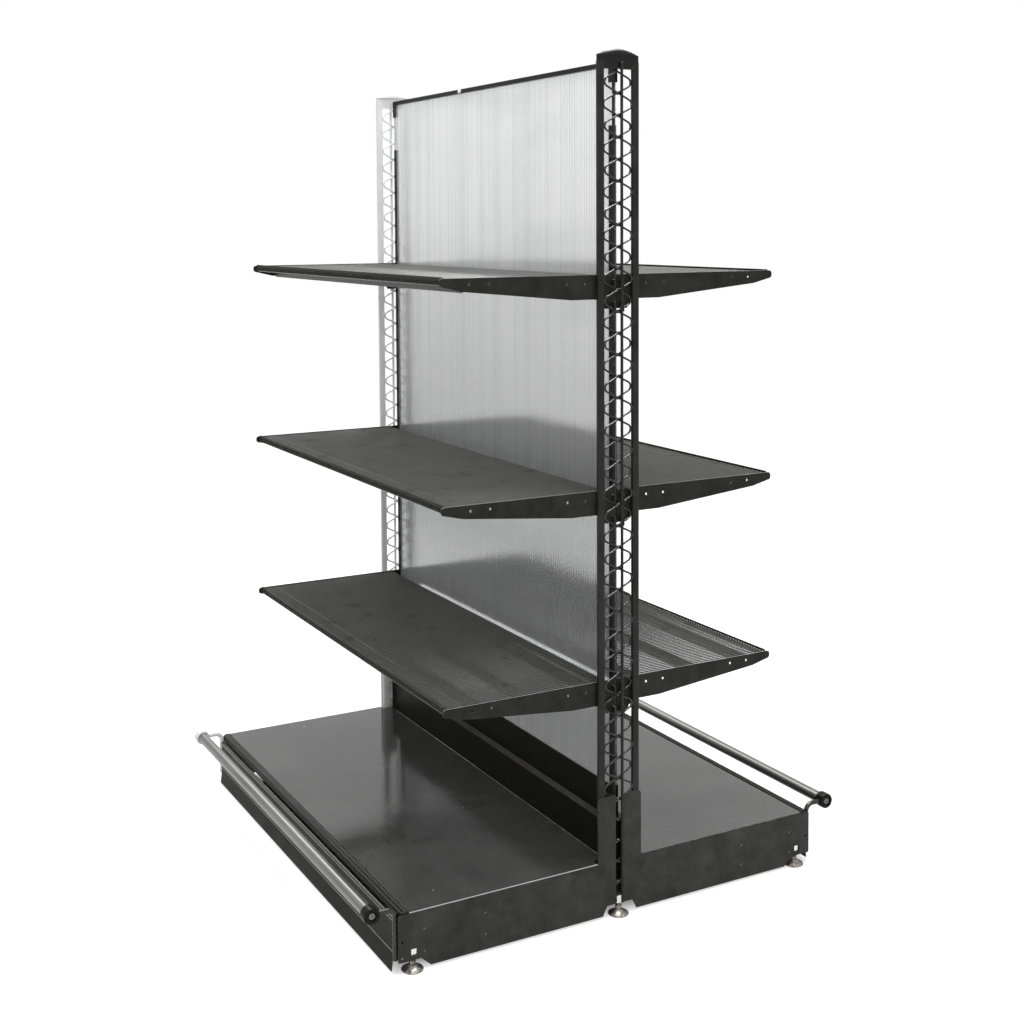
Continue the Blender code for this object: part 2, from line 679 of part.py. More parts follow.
def shelf_deck_mesh():
    """A slotted deck with bars on edge under it and a front rail, with z measured from the shelf's top edge."""
    front = SHELF_REACH - SHELF_DECK_SETBACK
    top = -SHELF_DECK_SINK
    under = top - SHELF_DECK_THICK
    first = -DECK_HALF + SLOT_END_MARGIN
    pitch = 2 * (DECK_HALF - SLOT_END_MARGIN) / SHELF_DECK_SLOTS
    slots = []
    for i in range(SHELF_DECK_SLOTS):
        middle = first + pitch * (i + 0.5)
        slot_x = (middle - SLOT_WIDTH / 2, middle + SLOT_WIDTH / 2)
        slots.append(rectangle(*slot_x, SHELF_DECK_REAR + SLOT_MARGIN, front - SLOT_MARGIN))
    outline = rectangle(-DECK_HALF, DECK_HALF, SHELF_DECK_REAR, front)
    meshes = [along_z("wires", under, top, outline, slots)]
    runner_in = DECK_HALF - RUNNER_WIDTH
    for end in (-1, 1):
        runner_x = spread_x(end, runner_in, DECK_HALF - BITE)
        runner_depth = (SHELF_DECK_REAR + BITE, front - FRONT_RAIL - SLOT_MARGIN / 4)
        meshes.append(block("runner", runner_x, runner_depth, (RUNNER_BOTTOM, under + BITE)))
    bar_x = runner_in + BITE
    for place in CROSS_BAR_PLACES:
        middle = SHELF_REACH * place
        bar_depth = (middle - CROSS_BAR_THICK / 2, middle + CROSS_BAR_THICK / 2)
        meshes.append(block("cross_bar", (-bar_x, bar_x), bar_depth, (top - CROSS_BAR_HEIGHT, under + BITE)))
    rear_depth = (SHELF_DECK_REAR + 2 * BITE, SHELF_DECK_REAR + 2 * BITE + REAR_BAR_THICK)
    meshes.append(block("rear_bar", (-bar_x, bar_x), rear_depth, (top - REAR_BAR_HEIGHT, under + BITE)))
    rail_x = DECK_HALF - BITE
    rail_depth = (front - FRONT_RAIL, front - BITE)
    rail_z = (top - FRONT_RAIL_HEIGHT, under + BITE)
    meshes.append(block("front_rail", (-rail_x, rail_x), rail_depth, rail_z))
    return welded("shelf_deck", meshes)


def foot_meshes():
    socket = STEM_D / 2 + BORE_PLAY
    rim = PAD_D / 2
    neck = PAD_NECK_D / 2
    profile = [(0, 0), (rim - PAD_RIM / 3, 0), (rim, PAD_RIM), (neck, PAD_HEIGHT - PAD_RIM)]
    profile += [(neck, PAD_HEIGHT), (socket, PAD_HEIGHT), (socket, PAD_SOCKET_FLOOR), (0, PAD_SOCKET_FLOOR)]
    pad = turned("foot_pad", profile, TUBE_SIDES, world)
    rod = along_z("rod", PAD_SOCKET_FLOOR + SEAT_GAP, STEM_TOP, circle(0, 0, STEM_D / 2, ROD_SIDES))
    collar_z = PAD_HEIGHT + SEAT_GAP
    collar = along_z("collar", collar_z, collar_z + COLLAR_HEIGHT, circle(0, 0, COLLAR_D / 2, 6))
    return pad, welded("foot_stem", [rod, collar])


def build_sides(coats, plastics, arm_coats, deck_metal, bright, feet_metal):
    metal = coats["right"]
    plates = {end: end_plate_mesh(end) for end in (-1, 1)}
    kick = kick_mesh()
    deck = base_deck_mesh()
    bumpers = {end: bumper_meshes(end) for end in (-1, 1)}
    tube_half = bumpers[1][2]
    tube_outside = circle(BUMPER_DEPTH, BUMPER_Z, TUBE_D / 2, TUBE_SIDES)
    tube_inside = circle(BUMPER_DEPTH, BUMPER_Z, TUBE_D / 2 - TUBE_WALL, TUBE_SIDES)
    tube = along_x("bumper_tube", -tube_half, tube_half, tube_outside, [tube_inside])
    brackets = {end: bracket_mesh(end) for end in (-1, 1)}
    shelf_deck = shelf_deck_mesh()
    for side in ("front", "rear"):
        rear = side == "rear"
        base = anchor("base_" + side, (0, 0, 0), rear)
        put("kick_plate_" + side, kick, metal, base)
        put("bumper_tube_" + side, tube, bright, base)
        seat = anchor("base_deck_lift_" + side, (0, 0, DECK_Z), rear)
        put("base_deck_" + side, deck, deck_metal, seat)
        for end in (-1, 1):
            place = end_name(end, rear)
            where = side + "_" + place
            put("base_end_plate_" + where, plates[end], coats[place], base)
            put("bumper_cap_" + where, bumpers[end][0], plastics[place], base)
            put("bumper_arm_" + where, bumpers[end][1], arm_coats[place], base)
        for level, number in SHELF_NODES.items():
            name = "shelf_" + side + "_" + level
            lift = anchor(name + "_lift", (0, 0, node_z(number) - SHELF_BELOW_NODE), rear)
            put(name + "_deck", shelf_deck, metal, lift)
            for end in (-1, 1):
                put(name + "_bracket_" + end_name(end, rear), brackets[end], metal, lift)

    pad, stem = foot_meshes()
    spots = {"front": (FOOT_X, -FOOT_DEPTH), "middle": (POST_X, 0.0), "rear": (FOOT_X, FOOT_DEPTH)}
    for spot, (x, y) in spots.items():
        for end in (-1, 1):
            where = spot + "_" + end_name(end)
            axis = anchor("foot_axis_" + where, (end * x, y, 0))
            put("foot_pad_" + where, pad, feet_metal, axis)
            put("foot_stem_" + where, stem, feet_metal, axis)


def build():
    clear_scene()
    coat = finish("charcoal_coat", (0.040, 0.039, 0.036), 0.45, 0.0)
    deck_coat = finish("charcoal_deck_coat", (0.060, 0.058, 0.055), 0.30, 0.0)
    chrome = finish("bumper_chrome", (0.62, 0.62, 0.61), 0.18, 1.0)
    zinc = finish("foot_zinc", (0.42, 0.38, 0.32), 0.45, 1.0)
    plastic = finish("black_plastic", (0.020, 0.020, 0.020), 0.40, 0.0)
    sheet = finish("panel_sheet", (0.72, 0.74, 0.74), 0.30, 0.0)
    pale_coat = finish("pale_coat", (0.66, 0.66, 0.65), 0.45, 0.0)
    pale_plastic = finish("pale_plastic", (0.66, 0.66, 0.65), 0.50, 0.0)
    coats = {"left": pale_coat, "right": coat}
    plastics = {"left": pale_plastic, "right": plastic}
    arm_coats = {"left": pale_coat, "right": chrome}
    build_uprights(coats, plastics)
    build_panel(sheet, plastic)
    build_beam(coat)
    build_sides(coats, plastics, arm_coats, deck_coat, chrome, zinc)


build()
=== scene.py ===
"""The looks of a double-sided gondola shelving bay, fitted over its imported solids. Metres, +Z up."""

import math

import bmesh
import bpy
from mathutils import Matrix, Vector


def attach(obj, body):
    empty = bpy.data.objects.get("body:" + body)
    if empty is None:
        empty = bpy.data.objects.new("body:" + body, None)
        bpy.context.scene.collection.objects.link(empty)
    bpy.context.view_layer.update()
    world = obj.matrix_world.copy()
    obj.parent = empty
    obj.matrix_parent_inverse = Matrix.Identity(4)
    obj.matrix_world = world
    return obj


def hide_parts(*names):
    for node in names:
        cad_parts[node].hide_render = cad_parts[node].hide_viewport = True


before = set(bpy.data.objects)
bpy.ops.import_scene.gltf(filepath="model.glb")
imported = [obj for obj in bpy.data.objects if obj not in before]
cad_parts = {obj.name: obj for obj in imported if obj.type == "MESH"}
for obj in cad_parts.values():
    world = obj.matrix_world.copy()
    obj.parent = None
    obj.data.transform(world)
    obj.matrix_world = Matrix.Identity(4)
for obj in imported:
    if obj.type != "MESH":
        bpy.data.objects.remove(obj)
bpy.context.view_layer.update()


# Uprights: each is two flat bars with two round rods between them and one wire bent to a zigzag on
# either side of the middle. All steel, welded at every bend and dipped in one powder coat.
# The right one is charcoal and the left one a pale grey.
POST_X = 0.625
POST_FOOT = 0.029
POST_TOP = 2.000
BAR_DEPTH = 0.0474
BAR_HALF = (0.005, 0.0086)
BAR_CORNER = 0.002
POST_ROD_R = 0.0035
POST_ROD_AT = (0.00835, 0.006)
ROD_INSET = 0.001
WIRE_R = 0.0024
WIRE_X = 0.0025
WIRE_REACH = 0.0375
WIRE_STEP = 0.050
WIRE_CORNER = 0.0512
WIRE_NODES = 39
WIRE_BEND = 0.0115
WIRE_TAIL = 0.006
WELD_SIZE = (0.0026, 0.0022, 0.0050)
WELD_SIT = 0.7
CROSS_WELD_SIZE = (0.0062, 0.0075, 0.0044)
TIE_Z = ((0.030, 0.034), (1.9835, 1.9875))
TIE_HALF = (0.004, 0.044)
HOLD_HALF = (0.009, 0.007)
HOLD_INSET = 0.0005
ENDS = {-1: "left", 1: "right"}
SMOOTH_BELOW = math.radians(38)


def skin(bm, rings):
    """Faces from ring to ring of points, closed at both ends."""
    for low, high in zip(rings, rings[1:]):
        for i in range(len(low)):
            bm.faces.new((low[i - 1], low[i], high[i], high[i - 1]))
    bm.faces.new(rings[0])
    bm.faces.new(rings[-1])


def rod(bm, path, radius, sides=10):
    """A round rod or wire along a path, mitred at its bends, with its ends chamfered."""
    heads = [(b - a).normalized() for a, b in zip(path, path[1:])]
    chamfer = radius * 0.25
    first, last = heads[0], heads[-1]
    spots = [(path[0], first, first, radius - chamfer)]
    spots.append((path[0] + first * chamfer, first, first, radius))
    spots += [(point, heads[i], heads[i + 1], radius) for i, point in enumerate(path[1:-1])]
    spots.append((path[-1] - last * chamfer, last, last, radius))
    spots.append((path[-1], last, last, radius - chamfer))
    across = first.orthogonal().normalized()
    rings = []
    for centre, before, after, reach in spots:
        mitre = (before + after).normalized()
        up = before.cross(across)
        ring = []
        for i in range(sides):
            turn = math.tau * i / sides
            out = reach * (math.cos(turn) * across + math.sin(turn) * up)
            ring.append(bm.verts.new(centre + out - before * (out.dot(mitre) / before.dot(mitre))))
        rings.append(ring)
        across = before.rotation_difference(after) @ across
    skin(bm, rings)


def bend(points, radius, steps=4):
    """A path of straight runs with its corners rounded."""
    path = [points[0]]
    for before, corner, after in zip(points, points[1:], points[2:]):
        back = before - corner
        on = after - corner
        half = back.angle(on) / 2
        reach = min(radius / math.tan(half), back.length * 0.49, on.length * 0.49)
        centre = corner + (back.normalized() + on.normalized()).normalized() * (reach / math.cos(half))
        start = corner + back.normalized() * reach - centre
        axis = start.cross(corner + on.normalized() * reach - centre)
        swing = math.pi - 2 * half
        for i in range(steps + 1):
            path.append(centre + Matrix.Rotation(swing * i / steps, 3, axis) @ start)
    return path + [points[-1]]


def slab(bm, outline, spread, low, high, holes=()):
    """A flat piece cut to an outline, with holes; spread(a, b, t) places its points from t low to high."""
    edges = []
    for loop in (outline, *holes):
        verts = [bm.verts.new(spread(a, b, low)) for a, b in loop]
        edges += [bm.edges.new((verts[i - 1], verts[i])) for i in range(len(verts))]
    if holes:
        filled = bmesh.ops.triangle_fill(bm, edges=edges, use_beauty=True)["geom"]
        cap = [item for item in filled if isinstance(item, bmesh.types.BMFace)]
    else:
        cap = [bm.faces.new(verts)]
    pushed = bmesh.ops.extrude_face_region(bm, geom=cap)["geom"]
    moved = [item for item in pushed if isinstance(item, bmesh.types.BMVert)]
    bmesh.ops.translate(bm, verts=moved, vec=spread(0, 0, high) - spread(0, 0, low))


def up_z(x, depth, z):
    """The front side faces -Y, so a depth counts from the middle plane towards the front."""
    return Vector((x, -depth, z))


def along_x(depth, z, x):
    return Vector((x, -depth, z))


def arc(a, b, radius, start, end, steps):
    turns = [math.radians(start + (end - start) * i / steps) for i in range(steps + 1)]
    return [(a + radius * math.cos(t), b + radius * math.sin(t)) for t in turns]


def rounded(a_low, a_high, b_low, b_high, radius, steps=3):
    """A rectangle with rounded corners."""
    outline = arc(a_high - radius, b_high - radius, radius, 0, 90, steps)
    outline += arc(a_low + radius, b_high - radius, radius, 90, 180, steps)
    outline += arc(a_low + radius, b_low + radius, radius, 180, 270, steps)
    return outline + arc(a_high - radius, b_low + radius, radius, 270, 360, steps)


def rectangle(a_low, a_high, b_low, b_high):
    return [(a_low, b_low), (a_high, b_low), (a_high, b_high), (a_low, b_high)]


def circle(a, b, radius, sides):
    turns = [math.tau * (i + 0.5) / sides for i in range(sides)]
    return [(a + radius * math.cos(t), b + radius * math.sin(t)) for t in turns]


def piece(name, bm, material, body, nodes, round_over=0.0, turn=0.0):
    """A finished piece on its body in place of its solids; turn swings it round Z to the rear side."""
    bmesh.ops.recalc_face_normals(bm, faces=bm.faces)
    bm.transform(Matrix.Rotation(turn, 4, "Z"))
    mesh = bpy.data.meshes.new(name)
    bm.to_mesh(mesh)
    bm.free()
    mesh.materials.append(material)
    mesh.shade_smooth()
    mesh.set_sharp_from_angle(angle=SMOOTH_BELOW)
    made = bpy.data.objects.new(name, mesh)
    bpy.context.scene.collection.objects.link(made)
    if round_over:
        soften(made, round_over)
    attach(made, body)
    if nodes:
        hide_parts(*nodes)
    return made


def soften(made, width):
    edges = made.modifiers.new("round_over", "BEVEL")
    edges.width = width
    edges.segments = 2
    edges.limit_method = "ANGLE"
    edges.angle_limit = SMOOTH_BELOW
    edges.harden_normals = True


def node(tree, kind, inputs=None, **settings):
    """A shader node; inputs gives each socket a value or the output that feeds it."""
    made = tree.nodes.new("ShaderNode" + kind)
    for key, value in settings.items():
        setattr(made, key, value)
    for socket, value in (inputs or {}).items():
        if isinstance(value, bpy.types.NodeSocket):
            tree.links.new(value, made.inputs[socket])
        else:
            made.inputs[socket].default_value = value
    return made


def math_node(tree, operation, a, b=0.0):
    return node(tree, "Math", {0: a, 1: b}, operation=operation).outputs[0]


def ramp(tree, value, start, end, low=0.0, high=1.0):
    inputs = {"Value": value, "From Min": start, "From Max": end, "To Min": low, "To Max": high}
    return node(tree, "MapRange", inputs).outputs[0]


def tint(tree, mask, under, over):
    """The colour under, covered by the colour over where the mask is 1."""
    return node(tree, "Mix", {0: mask, 6: under, 7: over}, data_type="RGBA").outputs[2]


def wear_group():
    """Masks for a coated surface from the piece's own coordinates: mottle, specks, chips and scuffs from shop
    use, rounded edges that the coats lighten as rubbed wear and as a painted highlight, and upward faces that
    the coats lighten as settled dust and as painted top light.
    """
    group = bpy.data.node_groups.new("shop_wear", "ShaderNodeTree")
    for name in ("Mottle", "Speck", "Chip", "Peel", "Scuff", "Edge", "Facing_up"):
        group.interface.new_socket(name, in_out="OUTPUT", socket_type="NodeSocketFloat")
    out = group.nodes.new("NodeGroupOutput")
    where = node(group, "TexCoord").outputs["Object"]
    broad = node(group, "TexNoise", {"Vector": where, "Scale": 11.0, "Detail": 9.0, "Roughness": 0.72})
    group.links.new(ramp(group, broad.outputs[0], 0.34, 0.68), out.inputs["Mottle"])
    cells = node(group, "TexVoronoi", {"Vector": where, "Scale": 48.0, "Randomness": 1.0})
    near = ramp(group, cells.outputs["Distance"], 0.05, 0.13, 1.0, 0.0)
    pick = node(group, "SeparateColor", {"Color": cells.outputs["Color"]}).outputs[0]
    chosen = math_node(group, "GREATER_THAN", pick, 0.72)
    group.links.new(math_node(group, "MULTIPLY", near, chosen), out.inputs["Speck"])
    bare = math_node(group, "GREATER_THAN", pick, 0.985)
    group.links.new(math_node(group, "MULTIPLY", near, bare), out.inputs["Chip"])
    fine = node(group, "TexNoise", {"Vector": where, "Scale": 620.0, "Detail": 2.0})
    group.links.new(fine.outputs[0], out.inputs["Peel"])
    stroke = {"Vector": where, "Rotation": (0.0, 0.0, 0.5), "Scale": (9.0, 190.0, 60.0)}
    drawn = node(group, "Mapping", stroke)
    lines = node(group, "TexNoise", {"Vector": drawn.outputs[0], "Scale": 1.0, "Detail": 3.0})
    group.links.new(ramp(group, lines.outputs[0], 0.62, 0.74), out.inputs["Scuff"])
    # Rounded edges: the coats lighten these partly as rubbed wear, partly as a painted highlight.
    rounded_normal = node(group, "Bevel", {"Radius": 0.0016}, samples=3).outputs[0]
    true_normal = node(group, "NewGeometry").outputs["Normal"]
    along = node(group, "VectorMath", {0: rounded_normal, 1: true_normal}, operation="DOT_PRODUCT")
    corner = ramp(group, along.outputs["Value"], 0.99, 0.85)
    worn_edge_light = node(group, "TexNoise", {"Vector": where, "Scale": 55.0, "Detail": 4.0}).outputs[0]
    edge_wear_and_light = math_node(group, "MULTIPLY", corner, ramp(group, worn_edge_light, 0.42, 0.66))
    group.links.new(edge_wear_and_light, out.inputs["Edge"])
    # Upward faces: the coats lighten these partly as settled dust, partly as painted top light.
    upward = node(group, "SeparateXYZ", {"Vector": true_normal}).outputs[2]
    group.links.new(ramp(group, upward, 0.55, 0.92), out.inputs["Facing_up"])
    return group


shop_wear = wear_group()


def finish(name, uniform):
    """A new material; values that are the same all over sit on the shader's own sockets."""
    material = bpy.data.materials.new(name)
    material.use_nodes = True
    shader = material.node_tree.nodes["Principled BSDF"]
    for socket, value in uniform.items():
        shader.inputs[socket].default_value = value
    return material, material.node_tree, shader


def colour(red, green, blue):
    return (red, green, blue, 1.0)


def powder_coat(name, tones, rough, gloss, specks=0.5, edge_chips_and_light=0.7, top_light=0.0, sheen_coat=0.0):
    """Tones are the coat's darker and lighter colours, its dust, which also serves as painted top light on
    upward faces, and its chipped edges, which also serve as a painted highlight along rounded edges.
    """
    low, high, dust_and_top_light, chip_and_edge_light = tones
    sheen = {"Coat Weight": sheen_coat, "Coat Roughness": 0.14, "Coat IOR": 1.6}
    material, tree, shader = finish(name, {"Specular IOR Level": gloss, **sheen})
    wear = node(tree, "Group", node_tree=shop_wear).outputs
    base = tint(tree, wear["Mottle"], low, high)
    # Specks, upward faces and rounded edges get lighter here: dust and chipping, and also painted top light
    # and painted edge highlights.
    marks = (("Speck", specks, dust_and_top_light), ("Facing_up", top_light, dust_and_top_light), ("Edge", edge_chips_and_light, chip_and_edge_light))
    for mark, amount, over in marks:
        if amount:
            base = tint(tree, math_node(tree, "MULTIPLY", wear[mark], amount), base, over)
    tree.links.new(base, shader.inputs["Base Color"])
    dull = ramp(tree, wear["Mottle"], 0.0, 1.0, rough - 0.05, rough + 0.09)
    tree.links.new(dull, shader.inputs["Roughness"])
    if not sheen_coat:
        bump = node(tree, "Bump", {"Height": wear["Peel"], "Strength": 0.25, "Distance": 0.0004})
        tree.links.new(bump.outputs[0], shader.inputs["Normal"])
    return material


# The charcoal dust colour is also painted top light on the beam; the chip colours are also a painted
# highlight along rounded edges.
CHARCOAL_DUST_AND_TOP_LIGHT = colour(0.16, 0.16, 0.15)
CHARCOAL_CHIP_AND_EDGE_LIGHT = colour(0.13, 0.13, 0.125)
CHARCOAL = (colour(0.0090, 0.0092, 0.0068), colour(0.0290, 0.0292, 0.0245), CHARCOAL_DUST_AND_TOP_LIGHT, CHARCOAL_CHIP_AND_EDGE_LIGHT)
WIRE_CHARCOAL = (colour(0.013, 0.013, 0.0115), colour(0.017, 0.017, 0.0150), CHARCOAL_DUST_AND_TOP_LIGHT, CHARCOAL_CHIP_AND_EDGE_LIGHT)
# A darker copy of the charcoal coat: painted shade for the beam, the kick plates, the deck lips and the shelf
# rims.
SHADED_CHARCOAL = (colour(0.006, 0.006, 0.005), colour(0.011, 0.011, 0.0095), CHARCOAL_DUST_AND_TOP_LIGHT, CHARCOAL_CHIP_AND_EDGE_LIGHT)
# The pale chip colour is also a painted highlight along rounded edges.
PALE_DUST = colour(0.64, 0.64, 0.63)
PALE_CHIP_AND_EDGE_LIGHT = colour(0.86, 0.86, 0.85)
PALE = (colour(0.80, 0.805, 0.80), colour(0.86, 0.865, 0.86), PALE_DUST, PALE_CHIP_AND_EDGE_LIGHT)
coat = powder_coat("charcoal_coat", CHARCOAL, 0.36, 0.15)
pale_coat = powder_coat("pale_coat", PALE, 0.46, 0.35)
wire_coat = powder_coat("charcoal_wire_coat", WIRE_CHARCOAL, 0.26, 0.10, 0.0, 0.0, sheen_coat=0.5)
pale_wire_coat = powder_coat("pale_wire_coat", PALE, 0.40, 0.40, 0.0, 0.0)


def zigzag(x, sign):
    """One wire's path from the head of the post down to its foot."""
    level = [POST_FOOT + WIRE_STEP * number for number in range(WIRE_NODES + 1)]
    path = [Vector((x, 0.0, level[-1]))]
    for number in range(WIRE_NODES - 1, 0, -1):
        corner = sign * WIRE_CORNER * (1 if number % 2 else -1)
        path.append(Vector((x, corner, level[number] + WIRE_STEP / 2)))
    return path + [Vector((x, -sign * WIRE_REACH / 3, level[1] - WIRE_TAIL))]


for end, where in ENDS.items():
    post_x = end * POST_X
    post = bmesh.new()
    for sign in (-1, 1):
        middle = sign * BAR_DEPTH
        thick, wide = BAR_HALF
        bar = rounded(post_x - thick, post_x + thick, middle - wide, middle + wide, BAR_CORNER)
        slab(post, bar, up_z, POST_FOOT, POST_TOP)
        foot = Vector((post_x + sign * POST_ROD_AT[0], sign * POST_ROD_AT[1], POST_FOOT + ROD_INSET))
        rod(post, [foot, foot + Vector((0, 0, POST_TOP - POST_FOOT - 2 * ROD_INSET))], POST_ROD_R, 14)
    for low, high in TIE_Z:
        tie = rectangle(post_x - TIE_HALF[0], post_x + TIE_HALF[0], -TIE_HALF[1], TIE_HALF[1])
        slab(post, tie, up_z, low, high)
    hold = rectangle(post_x - HOLD_HALF[0], post_x + HOLD_HALF[0], -HOLD_HALF[1], HOLD_HALF[1])
    slab(post, hold, up_z, TIE_Z[1][0] + HOLD_INSET, TIE_Z[1][1] - HOLD_INSET)
    metal, slot = (coat, "coat") if end > 0 else (pale_coat, "pale_coat")
    piece("post_" + where, post, metal, "frame", ["upright_post_" + where])

    lattice = bmesh.new()
    for sign in (-1, 1):
        plane = post_x + sign * WIRE_X
        path = zigzag(plane, sign)
        rod(lattice, bend(path, WIRE_BEND, 8), WIRE_R, 10)
        for corner in path[1:-1]:
            side = math.copysign(WIRE_REACH + WIRE_R * WELD_SIT, corner.y)
            place = Matrix.Translation(Vector((plane, side, corner.z)))
            size = Matrix.Diagonal((*WELD_SIZE, 1.0))
            bmesh.ops.create_icosphere(lattice, subdivisions=1, radius=1.0, matrix=place @ size)
    for number in range(1, WIRE_NODES):
        place = Matrix.Translation(Vector((post_x, 0.0, POST_FOOT + WIRE_STEP * number)))
        size = Matrix.Diagonal((*CROSS_WELD_SIZE, 1.0))
        bmesh.ops.create_icosphere(lattice, subdivisions=2, radius=1.0, matrix=place @ size)
    metal = wire_coat if end > 0 else pale_wire_coat
    piece("lattice_" + where, lattice, metal, "frame", ["upright_lattice_" + where])


# Upright caps: moulded plugs pushed into the heads of the posts, black on the right one and pale on the
# left one. A low dome with a rim covers both bars, and a square plug goes down between them.
CAP_BASE = 2.0003
CAP_DEPTH = 0.0555
CAP_RIM_Z = 2.0142
CAP_RIM_HALF = 0.0068
CAP_SKIRT_HALF = 0.0045
CAP_CROWN = 0.0142
CAP_STATIONS = 24
CAP_PULL = 0.35
CAP_END_RISE = 0.0008
CAP_RIM_DROPS = (0.0014, 0.0010, 0.0004)
CAP_PLUG = (0.0395, 0.0126)
PLUG_BITE = 0.001
PLUG_INSET = 0.0003


def moulded(name, low, high, rough, gloss):
    material, tree, shader = finish(name, {"Specular IOR Level": gloss})
    wear = node(tree, "Group", node_tree=shop_wear).outputs
    base = tint(tree, wear["Mottle"], low, high)
    # Rounded edges turn to three times the lighter tone: partly rubbed wear, partly a painted highlight.
    worn_edge_light = colour(*(part * 3 for part in high[:3]))
    base = tint(tree, math_node(tree, "MULTIPLY", wear["Edge"], 0.35), base, worn_edge_light)
    tree.links.new(base, shader.inputs["Base Color"])
    tree.links.new(ramp(tree, wear["Scuff"], 0.0, 1.0, rough, rough + 0.16), shader.inputs["Roughness"])
    bump = node(tree, "Bump", {"Height": wear["Peel"], "Strength": 0.35, "Distance": 0.0003})
    tree.links.new(bump.outputs[0], shader.inputs["Normal"])
    return material


BLACK = (colour(0.006, 0.006, 0.006), colour(0.010, 0.010, 0.0095))
PALE_GREY = (colour(0.72, 0.725, 0.72), colour(0.79, 0.795, 0.79))
black_plastic = moulded("black_plastic", *BLACK, 0.34, 0.09)
pale_plastic = moulded("pale_plastic", *PALE_GREY, 0.40, 0.40)
cap_plastic = moulded("cap_plastic", *BLACK, 0.24, 0.20)


def cap_ring(depth):
    """The cap's cut at one depth: skirt, rim and dome, all lower and narrower towards its two ends."""
    share = abs(depth) / CAP_DEPTH
    pull = 1 - CAP_PULL * share ** 6
    rise = CAP_CROWN * (1 - share ** 2) + CAP_END_RISE
    skirt, rim = CAP_SKIRT_HALF * pull, CAP_RIM_HALF * pull
    under, lip, edge = CAP_RIM_DROPS
    side = [(skirt, CAP_BASE), (skirt, CAP_RIM_Z - under)]
    side += [(rim - edge, CAP_RIM_Z - lip), (rim, CAP_RIM_Z - edge)]
    dome = [(x * rim, CAP_RIM_Z + z * rise) for x, z in arc(0, 0, 1.0, 0, 180, 12)]
    return side + dome + [(-x, z) for x, z in reversed(side)]


for end, where in ENDS.items():
    cap = bmesh.new()
    rings = []
    for i in range(CAP_STATIONS + 1):
        depth = CAP_DEPTH * math.sin(math.pi * (i / CAP_STATIONS - 0.5))
        rings.append([cap.verts.new(along_x(depth, z, end * POST_X + x)) for x, z in cap_ring(depth)])
    skin(cap, rings)
    plug = rectangle(-CAP_PLUG[0], CAP_PLUG[0], CAP_BASE - CAP_PLUG[1], CAP_BASE + PLUG_BITE)
    plug_low = end * POST_X - CAP_SKIRT_HALF + PLUG_INSET
    slab(cap, plug, along_x, plug_low, end * POST_X + CAP_SKIRT_HALF - PLUG_INSET)
    plastic, slot = (cap_plastic, "plastic") if end > 0 else (pale_plastic, "pale_plastic")
    piece("post_cap_" + where, cap, plastic, "frame", ["upright_cap_" + where], 0.0005)


# Back panel: one sheet of clear twin-wall plastic between the uprights, with its ribs upright. Light
# comes through it softened, and each rib shows as a fine line.
PANEL_HALF = 0.610
PANEL_Z = (0.3063, 2.0000)
PANEL_FACE = 0.005
RIB_COUNT = 110
RIB_SINK = 0.00035
RIB_STEPS = 4
# Tone of the sheet by height: painted shade, darker towards the bottom and darkest at 0.8 m.
PANEL_SHADE_BY_HEIGHT = ((0.31, 0.72), (0.55, 0.62), (0.80, 0.43), (1.10, 0.63), (1.65, 0.93), (2.00, 0.98))


def twin_wall():
    material, tree, shader = finish("twin_wall_sheet", {"Transmission Weight": 0.68, "IOR": 1.16})
    spot = node(tree, "TexCoord").outputs["Object"]
    axes = node(tree, "SeparateXYZ", {"Vector": spot}).outputs
    turn = math_node(tree, "MULTIPLY", axes[0], math.tau * RIB_COUNT / (2 * PANEL_HALF))
    rib = ramp(tree, math_node(tree, "COSINE", turn), 0.60, 0.98)
    drawn = node(tree, "Mapping", {"Vector": spot, "Scale": (60.0, 1.0, 0.35)})
    cell = node(tree, "TexNoise", {"Vector": drawn.outputs[0], "Scale": 1.0, "Detail": 2.0}).outputs[0]
    smeared = node(tree, "Mapping", {"Vector": spot, "Scale": (1.6, 1.0, 5.5)})
    wiped = {"Vector": smeared.outputs[0], "Scale": 1.0, "Detail": 4.0, "Roughness": 0.55}
    film = node(tree, "TexNoise", {**wiped, "Distortion": 0.6}).outputs[0]
    heights = [height for height, tone in PANEL_SHADE_BY_HEIGHT]
    low, high = heights[0], heights[-1]
    # Painted shade: the sheet's colour darkens towards the bottom.
    painted_shade_by_height = node(tree, "ValToRGB", {"Fac": ramp(tree, axes[2], low, high)})
    stops = painted_shade_by_height.color_ramp.elements
    for height in heights[1:-1]:
        stops.new((height - low) / (high - low))
    for stop, (height, tone) in zip(stops, PANEL_SHADE_BY_HEIGHT):
        stop.color = colour(tone, tone, tone)
    base = painted_shade_by_height.outputs[0]
    base = tint(tree, ramp(tree, film, 0.46, 0.74, 0.0, 0.30), base, colour(0.62, 0.63, 0.635))
    base = tint(tree, ramp(tree, cell, 0.42, 0.66, 0.0, 0.26), base, colour(0.50, 0.51, 0.52))
    base = tint(tree, math_node(tree, "MULTIPLY", rib, 0.55), base, colour(0.46, 0.47, 0.48))
    tree.links.new(base, shader.inputs["Base Color"])
    tree.links.new(ramp(tree, film, 0.3, 0.7, 0.12, 0.22), shader.inputs["Roughness"])
    return material


sheet_plastic = twin_wall()
panel = bmesh.new()
face = []
for i in range(RIB_COUNT * RIB_STEPS + 1):
    sunk = RIB_SINK * math.sin(math.pi * i / RIB_STEPS) ** 2
    face.append((PANEL_HALF * (2 * i / (RIB_COUNT * RIB_STEPS) - 1), PANEL_FACE - sunk))
slab(panel, face + [(x, -depth) for x, depth in reversed(face)], up_z, *PANEL_Z)
piece("twin_wall_panel", panel, sheet_plastic, "frame", ["back_panel"])


